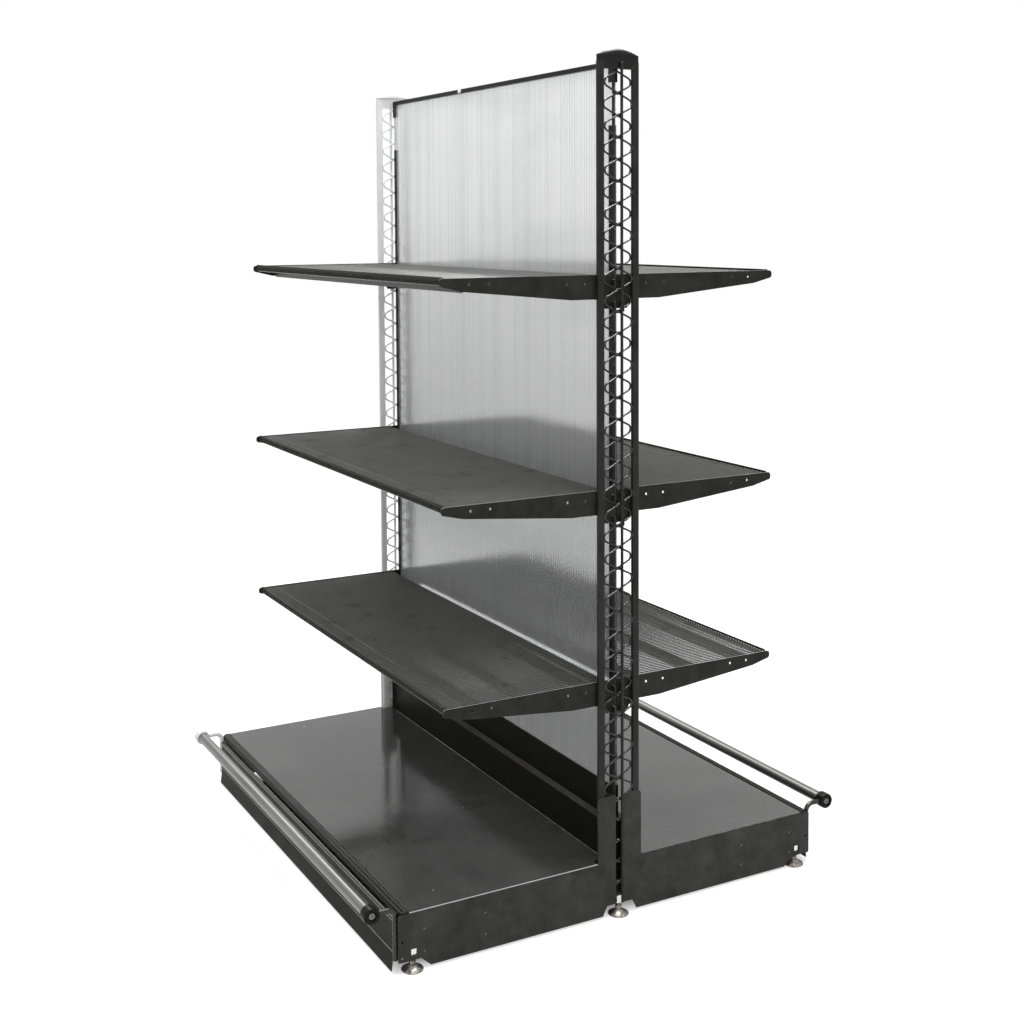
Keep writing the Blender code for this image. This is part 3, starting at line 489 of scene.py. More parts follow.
# Panel trims: a black extruded channel along the head of the sheet and one down either edge. The edge
# channels have a small button at each step of the lattice, and a screwed clip joins the head channel.
STRIP_X = (0.5965, 0.6095)
STRIP_FACE = 0.0068
STRIP_SLOT = 0.0053
STRIP_WEB = 0.0025
STRIP_Z = (0.3063, 1.857)
BUTTON_R = 0.0035
BUTTON_RISE = 0.0022
BUTTON_SEAT = -0.0005
BUTTON_STEP = 0.050
BUTTONS = range(7, 37)
RAIL_CLIP = (-0.162, 1.9975)
RAIL_CLIP_HALF = (0.0095, 0.0048)
RAIL_CLIP_CORNER = 0.0015
RAIL_CLIP_THICK = 0.0012
RAIL_CLIP_GAP = 0.0001
RAIL_SCREW = (0.0034, 0.0018)
RAIL_FACE = 0.0078


def turned(bm, profile, spread, sides=24):
    """A turned form from (radius, height) points; the first and last are on the axis."""
    rings = []
    for radius, height in profile:
        turns = [math.tau * i / sides for i in range(sides if radius > 0 else 1)]
        ring = [spread(radius * math.cos(t), radius * math.sin(t), height) for t in turns]
        rings.append([bm.verts.new(point) for point in ring])
    for low, high in zip(rings, rings[1:]):
        for i in range(sides):
            steps = ((low, i - 1), (low, i), (high, i), (high, i - 1))
            corners = [ring[step % len(ring)] for ring, step in steps]
            bm.faces.new(list(dict.fromkeys(corners)))


def screw_head(bm, spread, radius, rise):
    """A pan head with a cross recess, on spread's axis."""
    arm, slit = radius * 0.62, radius * 0.15
    quarter = [(arm, -slit), (arm, slit), (slit, slit)]
    cross = []
    for i in range(4):
        c, s = round(math.cos(i * math.pi / 2)), round(math.sin(i * math.pi / 2))
        cross += [(a * c - b * s, a * s + b * c) for a, b in quarter]
    turned(bm, [(0, 0), (radius, 0), (radius, rise * 0.5), (0, rise * 0.5)], spread, 20)
    slab(bm, circle(0, 0, radius * 0.94, 20), spread, rise * 0.5, rise, [cross])


def bright_steel(name, low, high, rough, stretch):
    material, tree, shader = finish(name, {"Metallic": 1.0})
    spot = node(tree, "TexCoord").outputs["Object"]
    drawn = node(tree, "Mapping", {"Vector": spot, "Scale": stretch})
    grain = node(tree, "TexNoise", {"Vector": drawn.outputs[0], "Scale": 1.0, "Detail": 5.0}).outputs[0]
    wear = node(tree, "Group", node_tree=shop_wear).outputs
    base = tint(tree, ramp(tree, grain, 0.3, 0.7), low, high)
    base = tint(tree, math_node(tree, "MULTIPLY", wear["Scuff"], 0.35), base, colour(0.10, 0.10, 0.10))
    tree.links.new(base, shader.inputs["Base Color"])
    tree.links.new(ramp(tree, grain, 0.3, 0.7, rough - 0.06, rough + 0.08), shader.inputs["Roughness"])
    bump = node(tree, "Bump", {"Height": grain, "Strength": 0.12, "Distance": 0.0002})
    tree.links.new(bump.outputs[0], shader.inputs["Normal"])
    return material


SCREW_GRAIN = (300.0, 300.0, 300.0)
SCREW_TONES = (colour(0.58, 0.58, 0.57), colour(0.74, 0.74, 0.73))
screw_steel = bright_steel("screw_steel", *SCREW_TONES, 0.26, SCREW_GRAIN)

for end, where in ENDS.items():
    inner, outer = STRIP_X
    web = outer - STRIP_WEB
    profile = [(inner, -STRIP_FACE), (outer, -STRIP_FACE), (outer, STRIP_FACE), (inner, STRIP_FACE)]
    profile += [(inner, STRIP_SLOT), (web, STRIP_SLOT), (web, -STRIP_SLOT), (inner, -STRIP_SLOT)]
    strip = bmesh.new()
    slab(strip, [(end * x, depth) for x, depth in profile], up_z, *STRIP_Z)
    button = [(0, BUTTON_SEAT), (BUTTON_R, BUTTON_SEAT), (BUTTON_R, BUTTON_RISE * 0.6)]
    button += [(BUTTON_R * 0.7, BUTTON_RISE), (0, BUTTON_RISE)]
    for number in BUTTONS:
        z = POST_FOOT + BUTTON_STEP * number
        for sign in (-1, 1):
            middle = end * (inner + outer) / 2
            turned(strip, button, lambda a, b, t: Vector((middle + a, sign * (STRIP_FACE + t), z + b)), 10)
    solids = ["panel_edge_strip_" + where]
    piece("edge_channel_" + where, strip, black_plastic, "frame", solids, 0.0006)

top_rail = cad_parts["panel_top_rail"]
top_rail.material_slots[0].material = black_plastic
soften(top_rail, 0.0008)


def on_rail(a, b, t):
    """Along the rail, up it and out from its front face, measured from the clip's middle."""
    return Vector((RAIL_CLIP[0] + a, -RAIL_FACE - t, RAIL_CLIP[1] + b))


clip = bmesh.new()
reach, rise = RAIL_CLIP_HALF
outline = rounded(-reach, reach, -rise, rise, RAIL_CLIP_CORNER)
slab(clip, outline, on_rail, RAIL_CLIP_GAP, RAIL_CLIP_THICK)
screw_head(clip, lambda a, b, t: on_rail(a, b, t + RAIL_CLIP_THICK - RAIL_CLIP_GAP), *RAIL_SCREW)
piece("rail_clip", clip, screw_steel, "frame", [], 0.0003)


# Base cross beam: a folded steel channel between the feet of the uprights. It has a ledge along either
# side and a narrow neck, and the sheet stands on the neck.
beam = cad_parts["base_cross_beam"]
# The beam is painted in the shaded copy of the charcoal as painted shade, with its upward faces lightened as
# painted top light.
beam.material_slots[0].material = powder_coat("beam_painted_shade_and_top_light", SHADED_CHARCOAL, 0.40, 0.04, 0.3, top_light=0.45)
soften(beam, 0.0016)


# Base end plates: 2 mm steel cut with a tower that bolts on the post, a window to reach the foot's nut,
# and flanges folded inward to carry the deck, the kick plate and the foot.
PLATE_X = (0.6303, 0.6323)
PLATE_START = 0.011
PLATE_REACH = 0.573
PLATE_TOP = 0.1330
PLATE_LOW = 0.006
PLATE_NOTCH = 0.027
PLATE_FOOT = ((0.035, POST_FOOT), (0.047, PLATE_LOW), (0.494, PLATE_LOW), (0.518, PLATE_NOTCH))
TOWER_DEPTH = 0.060
TOWER_TOP = 0.292
TOWER_CORNER = 0.010
PLATE_CORNER = 0.004
WINDOW_AT = (0.534, 0.0445)
WINDOW_HALF = 0.0075
WINDOW_CORNER = 0.0012
FIXING_HOLES = ((0.5625, 0.072), (0.5625, 0.036))
FIXING_R = 0.0030
SPOT_WELDS = ((0.3585, 0.0915), (0.3585, 0.042), (0.5097, 0.0915), (0.5097, 0.041))
WELD_R = 0.0032
WELD_DIMPLE = ((0, -0.0004), (WELD_R, -0.0004), (WELD_R * 0.8, 0.0003), (0, 0.0004))
FOOT_AT = (0.620, 0.534)
PLATE_FOLDS = (
    (0.6083, (0.090, 0.538), (0.1322, 0.1342)),
    (0.5883, (0.566, 0.568), (0.040, 0.118)),
    (0.602, (0.516, 0.552), (0.033, 0.037)),
)
FOLD_BITE = 0.0005
POST_NUT = (0.009, 0.001)
POST_NUT_Z = (TIE_Z[0][0] + 0.0005, 0.048)
FOOT_NUT = (0.0095, 0.0012)
FOOT_NUT_Z = (0.0372, 0.0512)
NUT_BORE_R = 0.0053


def spread_x(end, low, high):
    return sorted((end * low, end * high))


WELD_MARK = (colour(0.075, 0.075, 0.07), colour(0.12, 0.12, 0.115), CHARCOAL_DUST_AND_TOP_LIGHT, CHARCOAL_CHIP_AND_EDGE_LIGHT)
weld_steel = powder_coat("weld_mark", WELD_MARK, 0.45, 0.3, 0.5, 0.0)
PLATE_CHARCOAL = (CHARCOAL[0], colour(0.046, 0.046, 0.040), CHARCOAL_DUST_AND_TOP_LIGHT, CHARCOAL_CHIP_AND_EDGE_LIGHT)
plate_coat = powder_coat("plate_coat", PLATE_CHARCOAL, 0.36, 0.20)
SIDES = {"front": 0.0, "rear": math.pi}


def end_of(side, end):
    """The name of an end as it stands once the side is turned to its place."""
    return ENDS[end if side == "front" else -end]


def square_nut(x, depth, half, corner, heights):
    made = bmesh.new()
    outline = rounded(x - half, x + half, depth - half, depth + half, corner)
    slab(made, outline, up_z, *heights, [circle(x, depth, NUT_BORE_R, 20)])
    return made


for side, turn in SIDES.items():
    for end in ENDS:
        where = side + "_" + end_of(side, end)
        pale = end_of(side, end) == "left"
        outline = [(PLATE_START, POST_FOOT), *PLATE_FOOT]
        outline += arc(PLATE_REACH - PLATE_CORNER, PLATE_NOTCH + PLATE_CORNER, PLATE_CORNER, 270, 360, 3)
        outline += arc(PLATE_REACH - PLATE_CORNER, PLATE_TOP - PLATE_CORNER, PLATE_CORNER, 0, 90, 3)
        outline += [(TOWER_DEPTH, PLATE_TOP)]
        outline += arc(TOWER_DEPTH - TOWER_CORNER, TOWER_TOP - TOWER_CORNER, TOWER_CORNER, 0, 90, 5)
        outline += [(PLATE_START, TOWER_TOP)]
        y, z = WINDOW_AT
        window = rounded(y - WINDOW_HALF, y + WINDOW_HALF, z - WINDOW_HALF, z + WINDOW_HALF, WINDOW_CORNER)
        holes = [window] + [circle(*spot, FIXING_R, 14) for spot in FIXING_HOLES]
        plate = bmesh.new()
        slab(plate, outline, along_x, *spread_x(end, *PLATE_X), holes)
        for x_low, depths, heights in PLATE_FOLDS:
            fold = rectangle(*spread_x(end, x_low, PLATE_X[0] + FOLD_BITE), *depths)
            slab(plate, fold, up_z, *heights)
        metal, slot = (pale_coat, "pale_coat") if pale else (plate_coat, "coat")
        piece("end_plate_" + where, plate, metal, "frame", ["base_end_plate_" + where], 0.0005, turn)

        if side == "front":
            nut = square_nut(end * POST_X, 0.0, *POST_NUT, POST_NUT_Z)
            piece("post_nut_" + ENDS[end], nut, screw_steel, "frame", [], 0.0005)
        nut = square_nut(end * FOOT_AT[0], FOOT_AT[1], *FOOT_NUT, FOOT_NUT_Z)
        piece("foot_nut_" + where, nut, screw_steel, "frame", [], 0.0006, turn)

        welds = bmesh.new()
        outside = PLATE_X[1]
        for depth, z in SPOT_WELDS:
            turned(welds, WELD_DIMPLE, lambda a, b, t: Vector((end * (outside + t), -depth - a, z + b)), 14)
        metal = pale_coat if pale else weld_steel
        piece("spot_welds_" + where, welds, metal, "frame", [], 0.0, turn)


# Kick plates: one folded steel sheet along the front of each base. The head is rolled to a bead, and
# below a crease the skirt flares out to the floor. It hooks on the end plates' front flanges.
KICK_FACE = 0.576
KICK_BACK = 0.574
KICK_HALF = 0.6134
KICK_BEAD_AT = (0.5733, 0.1185)
KICK_BEAD_R = 0.005
KICK_BEAD_SHARE = 0.7
KICK_CREASE = (0.046, 0.0018)
CREASE_HEAD = 0.0014
CREASE_FOOT = (0.0004, 0.002)
KICK_SKIRT = (0.582, 0.004)
KICK_SHEET = 0.002
KICK_WING = (0.5686, 0.052, 0.094)
WING_INSETS = (0.0025, 0.0005)
KICK_END = 0.001
# The kick sheet is the shaded copy of the charcoal as painted shade, and its rounded edges go pale grey as a
# painted highlight.
KICK_SHADE_AND_EDGE_LIGHT = (SHADED_CHARCOAL[0], SHADED_CHARCOAL[1], CHARCOAL_DUST_AND_TOP_LIGHT, colour(0.46, 0.46, 0.45))
kick_painted_shade = powder_coat("kick_painted_shade", KICK_SHADE_AND_EDGE_LIGHT, 0.42, 0.05, edge_chips_and_light=1.0)
bead_coat = powder_coat("bead_coat", CHARCOAL, 0.24, 0.45)
# The upper side of the crease is painted grey as a painted highlight line.
CREASE_HIGHLIGHT_GREY = (colour(0.10, 0.10, 0.098), colour(0.34, 0.34, 0.33), CHARCOAL_DUST_AND_TOP_LIGHT, CHARCOAL_CHIP_AND_EDGE_LIGHT)
crease_painted_highlight = powder_coat("crease_highlight_paint", CREASE_HIGHLIGHT_GREY, 0.40, 0.2)

for side, turn in SIDES.items():
    depth, z = KICK_BEAD_AT
    start = -math.degrees(math.acos((KICK_FACE - depth) / KICK_BEAD_R))
    stop = 360 - math.degrees(math.acos((KICK_BACK - depth) / KICK_BEAD_R))
    crease, ridge = KICK_CREASE
    outline = [KICK_SKIRT, (KICK_FACE + CREASE_FOOT[0], crease - CREASE_FOOT[1]), (KICK_FACE + ridge, crease)]
    outline += [(KICK_FACE, crease + CREASE_HEAD), *arc(depth, z, KICK_BEAD_R, start, stop, 22)]
    outline += [(KICK_BACK, crease), (KICK_SKIRT[0] - KICK_SHEET, KICK_SKIRT[1])]
    kick = bmesh.new()
    slab(kick, outline, along_x, -KICK_HALF, KICK_HALF)
    for end in ENDS:
        x_range = spread_x(end, *(KICK_HALF - inset for inset in WING_INSETS))
        wing = rectangle(*x_range, KICK_WING[0], KICK_BACK + FOLD_BITE)
        slab(kick, wing, up_z, *KICK_WING[1:])
    made = piece("kick_" + side, kick, kick_painted_shade, "frame", ["kick_plate_" + side], 0.0004, turn)
    made.data.materials.append(bead_coat)
    made.data.materials.append(crease_painted_highlight)
    # Crease faces take the painted highlight; bead faces keep the plain charcoal, lighter than the painted
    # shade of the rest.
    for face in made.data.polygons:
        x, y, height = (abs(part) for part in face.center)
        if crease < height < crease + CREASE_HEAD and y > KICK_FACE and face.normal.z > 0.2:
            face.material_index = 2
        if height > z - KICK_BEAD_R * KICK_BEAD_SHARE and x < KICK_HALF - KICK_END:
            face.material_index = 1


# Base decks: a coated steel tray on the end plates' ledges, cut out round the posts. A ribbed lip with
# a groove behind it runs along its front edge. It lifts straight out.
DECK_Z = (0.1345, 0.1365)
DECK_HALF = 0.6325
DECK_NOTCH = 0.61225
DECK_REAR = 0.0306
DECK_CLEAR = 0.062
REAR_HEM = (0.0320, 0.1366)
REAR_HEM_R = 0.0012
DECK_FRONT = 0.546
LIP_START = 0.540
LIP_FRONT = 0.568
LIP_BOTTOM = 0.124
LIP_CORNER = 0.010
LIP_INSET = 0.0007
LIP_STATIONS = 6
END_FACE_BAND = 0.0002
LIP_RIBS = (
    (0.5460, 0.1352),
    (0.5476, 0.1350),
    (0.5490, 0.1380),
    (0.5504, 0.1383),
    (0.5525, 0.1381),
    (0.5540, 0.1372),
    (0.5555, 0.1372),
    (0.5570, 0.1380),
    (0.5600, 0.1382),
    (0.5630, 0.1381),
    (0.5655, 0.1370),
    (0.5672, 0.1352),
    (0.5680, 0.1330),
    (0.5680, 0.1270),
    (0.5670, 0.1246),
    (0.5650, 0.1240),
)
DECK_TONES = (colour(0.034, 0.034, 0.033), colour(0.066, 0.066, 0.064))
# The Edge mark lightens rounded edges: partly worn paint, partly a painted highlight.
DECK_MARKS = (
    ("Scuff", 0.12, colour(0.20, 0.20, 0.195)),
    ("Speck", 0.30, colour(0.22, 0.22, 0.21)),
    ("Edge", 0.5, colour(0.42, 0.42, 0.41)),
)
DECK_BARE = colour(0.62, 0.62, 0.60)


def deck_coat():
    material, tree, shader = finish("deck_coat", {"Specular IOR Level": 0.5})
    wear = node(tree, "Group", node_tree=shop_wear).outputs
    spot = node(tree, "TexCoord").outputs["Object"]
    cloud = {"Vector": spot, "Scale": 3.2, "Detail": 6.0, "Roughness": 0.65}
    smear = node(tree, "TexNoise", cloud).outputs[0]
    base = tint(tree, ramp(tree, smear, 0.35, 0.7), *DECK_TONES)
    for mark, amount, over in DECK_MARKS:
        base = tint(tree, math_node(tree, "MULTIPLY", wear[mark], amount), base, over)
    base = tint(tree, wear["Chip"], base, DECK_BARE)
    tree.links.new(base, shader.inputs["Base Color"])
    smeared = ramp(tree, smear, 0.35, 0.7, 0.07, 0.15)
    scuffed = ramp(tree, wear["Scuff"], 0.0, 1.0, 0.0, 0.12)
    tree.links.new(math_node(tree, "ADD", smeared, scuffed), shader.inputs["Roughness"])
    bump = node(tree, "Bump", {"Height": wear["Peel"], "Strength": 0.10, "Distance": 0.0004})
    tree.links.new(bump.outputs[0], shader.inputs["Normal"])
    return material


deck_finish = deck_coat()
# The lip is the shaded copy of the charcoal as painted shade.
lip_painted_shade = powder_coat("lip_painted_shade", SHADED_CHARCOAL, 0.40, 0.10, 0.3)
# Pale end faces of the front deck: a painted highlight line along the deck's end edges.
DECK_END_HIGHLIGHT = (colour(0.60, 0.60, 0.59), colour(0.78, 0.78, 0.77), PALE_DUST, PALE_CHIP_AND_EDGE_LIGHT)
deck_end_highlight = powder_coat("deck_end_painted_highlight", DECK_END_HIGHLIGHT, 0.34, 0.5)

for side, turn in SIDES.items():
    deck = bmesh.new()
    outline = [(DECK_NOTCH, DECK_REAR), (DECK_NOTCH, DECK_CLEAR)]
    outline += [(DECK_HALF, DECK_CLEAR), (DECK_HALF, DECK_FRONT)]
    outline += [(-x, depth) for x, depth in reversed(outline)]
    slab(deck, outline, up_z, *DECK_Z)
    hem, height = REAR_HEM
    rod(deck, [along_x(hem, height, -DECK_NOTCH), along_x(hem, height, DECK_NOTCH)], REAR_HEM_R, 10)
    profile = [(LIP_START, LIP_BOTTOM), (LIP_START, LIP_RIBS[0][1]), *LIP_RIBS]
    stations = []
    for i in range(LIP_STATIONS + 1):
        lean = math.radians(90 * i / LIP_STATIONS)
        share = 1 - LIP_CORNER / (LIP_FRONT - LIP_START) * (1 - math.cos(lean))
        stations.append((DECK_HALF - LIP_INSET - LIP_CORNER * (1 - math.sin(lean)), share))
    stations = [(-x, share) for x, share in reversed(stations)] + stations
    rings = []
    for x, share in stations:
        ring = [along_x(LIP_START + (depth - LIP_START) * share, z, x) for depth, z in profile]
        rings.append([deck.verts.new(point) for point in ring])
    skin(deck, rings)
    body = "base_deck_" + side
    made = piece("deck_" + side, deck, deck_finish, body, [body], 0.0005, turn)
    made.data.materials.append(lip_painted_shade)
    made.data.materials.append(deck_end_highlight)
    # Lip faces take the painted shade; on the front deck the end faces take the painted highlight.
    for face in made.data.polygons:
        if abs(face.center.y) > DECK_FRONT:
            face.material_index = 1
        elif side == "front" and abs(face.center.x) > DECK_HALF - END_FACE_BAND:
            face.material_index = 2


# Bumper rails: a satin steel tube held clear of each base, with a moulded cap screwed on either end
# and a bent round arm behind each cap that drops down inside the end plate.
BUMPER_AT = (0.6325, 0.147)
TUBE_R = 0.014
TUBE_HALF = 0.620
END_R = 0.019
END_X = (0.6073, 0.6323)
END_ROUND = 0.004
END_EDGE = 0.001
SOCKET = (-0.0005, 0.0004, 0.004)
RECESS = (0.011, 0.0045)
RECESS_EDGE = 0.0008
END_SCREW = (0.0075, 0.0028)
ARM_X = 0.620
ARM_R = 0.006
ARM_PATH = ((0.5743, 0.030), (0.5743, 0.147), (0.6180, 0.147))
ARM_BEND = 0.018
TUBE_TONES = (colour(0.13, 0.13, 0.128), colour(0.20, 0.20, 0.196))
ARM_TONES = (colour(0.034, 0.034, 0.033), colour(0.056, 0.056, 0.054))
DULL_TONES = (colour(0.10, 0.085, 0.075), colour(0.24, 0.22, 0.20))
tube_steel = bright_steel("satin_steel", *TUBE_TONES, 0.36, (3.0, 160.0, 160.0))
arm_steel = bright_steel("arm_steel", *ARM_TONES, 0.28, (160.0, 160.0, 160.0))
dull_steel = bright_steel("dull_screw_steel", *DULL_TONES, 0.40, SCREW_GRAIN)

for side, turn in SIDES.items():
    depth, z = BUMPER_AT
    tube = bmesh.new()
    rod(tube, [along_x(depth, z, -TUBE_HALF), along_x(depth, z, TUBE_HALF)], TUBE_R, 36)
    piece("tube_" + side, tube, tube_steel, "frame", ["bumper_tube_" + side], 0.0, turn)
    for end in ENDS:
        where = side + "_" + end_of(side, end)
        pale = end_of(side, end) == "left"
        start, stop = END_X
        tight, loose, floor = SOCKET
        hollow, seat = RECESS[0], stop - RECESS[1]
        profile = [(0, start + floor), (TUBE_R + tight, start + floor), (TUBE_R + loose, start)]
        profile += [(END_R - END_EDGE, start), (END_R, start + END_EDGE)]
        profile += [(r, x) for x, r in arc(stop - END_ROUND, END_R - END_ROUND, END_ROUND, 90, 0, 5)]
        profile += [(hollow + RECESS_EDGE, stop), (hollow, stop - RECESS_EDGE), (hollow, seat), (0, seat)]
        cap = bmesh.new()
        turned(cap, profile, lambda a, b, t: Vector((end * t, -depth - a, z + b)), 32)
        plastic, slot = (pale_plastic, "pale_plastic") if pale else (black_plastic, "plastic")
        piece("bumper_end_" + where, cap, plastic, "frame", ["bumper_cap_" + where], 0.0, turn)
        screw = bmesh.new()
        screw_head(screw, lambda a, b, t: Vector((end * (seat + t), -depth - a, z + b)), *END_SCREW)
        piece("bumper_screw_" + where, screw, dull_steel, "frame", [], 0.0004, turn)
        arm = bmesh.new()
        path = [along_x(d, height, end * ARM_X) for d, height in ARM_PATH]
        rod(arm, bend(path, ARM_BEND, 8), ARM_R, 18)
        metal, slot = (pale_coat, "pale_coat") if pale else (arm_steel, "bumper")
        piece("arm_" + where, arm, metal, "frame", ["bumper_arm_" + where], 0.0, turn)


# Shelves: close-set wires from back to front, bent down over the front edge behind a low rim strip and
# welded on three upright cross bars, a rear bar and a front bar. The grid lies on the ledges of two
# pressed steel brackets, which hook in the lattice at two levels and lift off.
SHELF_TOP = {"bottom": 0.565, "middle": 1.015, "top": 1.515}
BRACKET_X = (0.616, 0.6185)
BRACKET_ROOT = {-1: 0.001, 1: 0.011}
BRACKET_TAIL = -0.0790
BRACKET_LOW = ((0.030, BRACKET_TAIL), (0.0385, -0.0605), (0.060, -0.057), (0.120, -0.057), (0.400, -0.030))
BRACKET_NOSE = (0.446, -0.011, -0.008)
BRACKET_NOSE_R = 0.008
BRACKET_HOLES = ((0.084, 0.020), (0.132, 0.020), (0.332, 0.014), (0.381, 0.014))
BRACKET_HOLE_R = 0.0030
HOOK_RESTS = (-0.0260, -0.0760)
HOOK_X = (0.6172, 0.6301, 0.6331)
HOOK_DROP = 0.010
HOOK_BODY = 0.014
HOOK_DEPTH = (0.0117, 0.0135)
LEDGE = ((0.604, 0.6172), (0.064, 0.430), (-0.0091, -0.0071))
GRID_HALF = 0.6140
GRID_END = 0.0032
GRID_WIRE_R = 0.0017
GRID_COUNT = 115
GRID_RUN = (0.0245, 0.4442)
GRID_Z = (-0.0148, -0.0036)
GRID_BEND = 0.0035
RUNNER = ((0.602, 0.6137), (0.0247, 0.432), (-0.0068, -0.0050))
BAR_HALF_LENGTH = 0.6027
BARS = (
    ((0.0254, 0.0284), (-0.0210, -0.0050)),
    ((0.0689, 0.0709), (-0.0335, -0.0050)),
    ((0.2319, 0.2339), (-0.0335, -0.0050)),
    ((0.3890, 0.3910), (-0.0335, -0.0050)),
)
FRONT_BAR = ((0.4395, 0.4428), (-0.0155, -0.0060))
EDGE_START = FRONT_BAR[0][0] - 0.0005
EDGE_LOW = -0.0052
FRONT_ROD = (0.4440, -0.0150, 0.0014)
TOP_ROD = (0.4020, -0.0030, 0.0008)
RIM = ((0.4430, 0.4444), (-0.0030, 0.0024))
RIM_START = 0.4411
RIM_LOW = -0.0018
# The brackets' dust colour is near white and covers every upward face: painted top light along the bracket
# tops, with a little dust in the specks.
BRACKET_DUST_AND_TOP_LIGHT = (CHARCOAL[0], CHARCOAL[1], colour(0.42, 0.42, 0.40), CHARCOAL_CHIP_AND_EDGE_LIGHT)
bracket_coat = powder_coat("bracket_coat", BRACKET_DUST_AND_TOP_LIGHT, 0.38, 0.12, 0.1, top_light=1.0)
# A lighter copy of the charcoal coat for the grid: a painted sheen in place of the wires' reflections.
SHELF_CHARCOAL_WITH_PAINTED_SHEEN = (colour(0.076, 0.076, 0.074), colour(0.096, 0.096, 0.093), CHARCOAL_DUST_AND_TOP_LIGHT, CHARCOAL_CHIP_AND_EDGE_LIGHT)
shelf_painted_sheen = powder_coat("shelf_wire_painted_sheen", SHELF_CHARCOAL_WITH_PAINTED_SHEEN, 0.30, 0.12, 0.0, 0.0, sheen_coat=0.10)


def strip_under(bm, top, x_range, depths, heights):
    """A flat strip of a shelf; heights count from the shelf's top."""
    slab(bm, rectangle(*x_range, *depths), up_z, top + heights[0], top + heights[1])


for side, turn in SIDES.items():
    for level, top in SHELF_TOP.items():
        name = "shelf_" + side + "_" + level
        for end in ENDS:
            where = end_of(side, end)
            root = BRACKET_ROOT[end]
            nose, low, high = BRACKET_NOSE
            outline = [(root, BRACKET_TAIL), *BRACKET_LOW]
            outline += arc(nose, low, BRACKET_NOSE_R, -90, 0, 5) + arc(nose, high, BRACKET_NOSE_R, 0, 90, 5)
            outline += [(root, 0.0)]
            holes = [circle(depth, -drop, BRACKET_HOLE_R, 14) for depth, drop in BRACKET_HOLES]
            holes = [[(d, top + z) for d, z in hole] for hole in holes]
            bracket = bmesh.new()
            slab(bracket, [(d, top + z) for d, z in outline], along_x, *spread_x(end, *BRACKET_X), holes)
            back, lip, out = HOOK_X
            for rest in HOOK_RESTS:
                hook = [(back, rest), (lip, rest), (lip, rest - HOOK_DROP), (out, rest - HOOK_DROP)]
                hook += [(out, rest + HOOK_BODY), (back, rest + HOOK_BODY)]
                shape = [(end * x, top + z) for x, z in hook]
                slab(bracket, shape, lambda x, z, depth: up_z(x, depth, z), *HOOK_DEPTH)
            strip_under(bracket, top, spread_x(end, *LEDGE[0]), *LEDGE[1:])
            solids = [name + "_bracket_" + where]
            piece(name + "_side_" + where, bracket, bracket_coat, name, solids, 0.0007, turn)

        grid = bmesh.new()
        rear, front = GRID_RUN
        low, high = GRID_Z
        for i in range(GRID_COUNT):
            x = (GRID_HALF - GRID_END) * (2 * i / (GRID_COUNT - 1) - 1)
            run = [up_z(x, rear, top + high), up_z(x, front, top + high), up_z(x, front, top + low)]
            rod(grid, bend(run, GRID_BEND), GRID_WIRE_R, 10)
        for end in ENDS:
            strip_under(grid, top, spread_x(end, *RUNNER[0]), *RUNNER[1:])
        for bar in BARS:
            strip_under(grid, top, (-BAR_HALF_LENGTH, BAR_HALF_LENGTH), *bar)
        for bar in (FRONT_BAR, RIM):
            strip_under(grid, top, (-GRID_HALF, GRID_HALF), *bar)
        for depth, z, radius in (FRONT_ROD, TOP_ROD):
            rod(grid, [up_z(-GRID_HALF, depth, top + z), up_z(GRID_HALF, depth, top + z)], radius, 10)
        made = piece(name + "_grid", grid, shelf_painted_sheen, name, [name + "_deck"], 0.0, turn)
        made.data.materials.append(wire_coat)
        made.data.materials.append(lip_painted_shade)
        # Rim faces take the painted shade of the lip; the front bends and bars keep the plain charcoal of the
        # wires.
        for face in made.data.polygons:
            depth, z = abs(face.center.y), face.center.z
            if depth > RIM_START and z > top + RIM_LOW:
                face.material_index = 2
            elif depth > RIM_START or (depth > EDGE_START and z < top + EDGE_LOW):
                face.material_index = 1


# Levelling feet: a spun steel disc on the floor and a threaded stem with a hexagon on it, which screws
# up into the nut in the post or the end plate. Zinc plated, dulled and rusted by floor washing.
PAD_PROFILE = (
    (0, 0.0),
    (0.0235, 0.0),
    (0.0248, 0.0009),
    (0.0250, 0.0022),
    (0.0243, 0.0033),
    (0.0190, 0.0050),
    (0.0135, 0.0078),
    (0.0108, 0.0103),
    (0.0100, 0.0122),
    (0.0094, 0.0130),
    (0.0053, 0.0130),
    (0.0053, 0.0066),
    (0, 0.0066),
)
STEM_R = 0.005
STEM_Z = (0.0068, 0.0485)
THREAD_PITCH = 0.0015
HEX_R = 0.0078
HEX_Z = (0.0133, 0.0220)
HEX_EDGE = 0.0006


def worn_zinc():
    material, tree, shader = finish("worn_zinc", {})
    spot = node(tree, "TexCoord").outputs["Object"]
    patchy = {"Vector": spot, "Scale": 90.0, "Detail": 6.0, "Roughness": 0.65}
    cloud = node(tree, "TexNoise", patchy).outputs[0]
    rust = ramp(tree, cloud, 0.50, 0.64)
    grain = node(tree, "TexNoise", {"Vector": spot, "Scale": 700.0, "Detail": 3.0}).outputs[0]
    zinc = tint(tree, grain, colour(0.17, 0.163, 0.15), colour(0.36, 0.345, 0.31))
    brown = tint(tree, grain, colour(0.060, 0.045, 0.032), colour(0.16, 0.125, 0.090))
    tree.links.new(tint(tree, rust, zinc, brown), shader.inputs["Base Color"])
    tree.links.new(ramp(tree, rust, 0.0, 1.0, 0.9, 0.1), shader.inputs["Metallic"])
    tree.links.new(ramp(tree, rust, 0.0, 1.0, 0.46, 0.76), shader.inputs["Roughness"])
    bump = node(tree, "Bump", {"Height": cloud, "Strength": 0.3, "Distance": 0.0004})
    tree.links.new(bump.outputs[0], shader.inputs["Normal"])
    return material


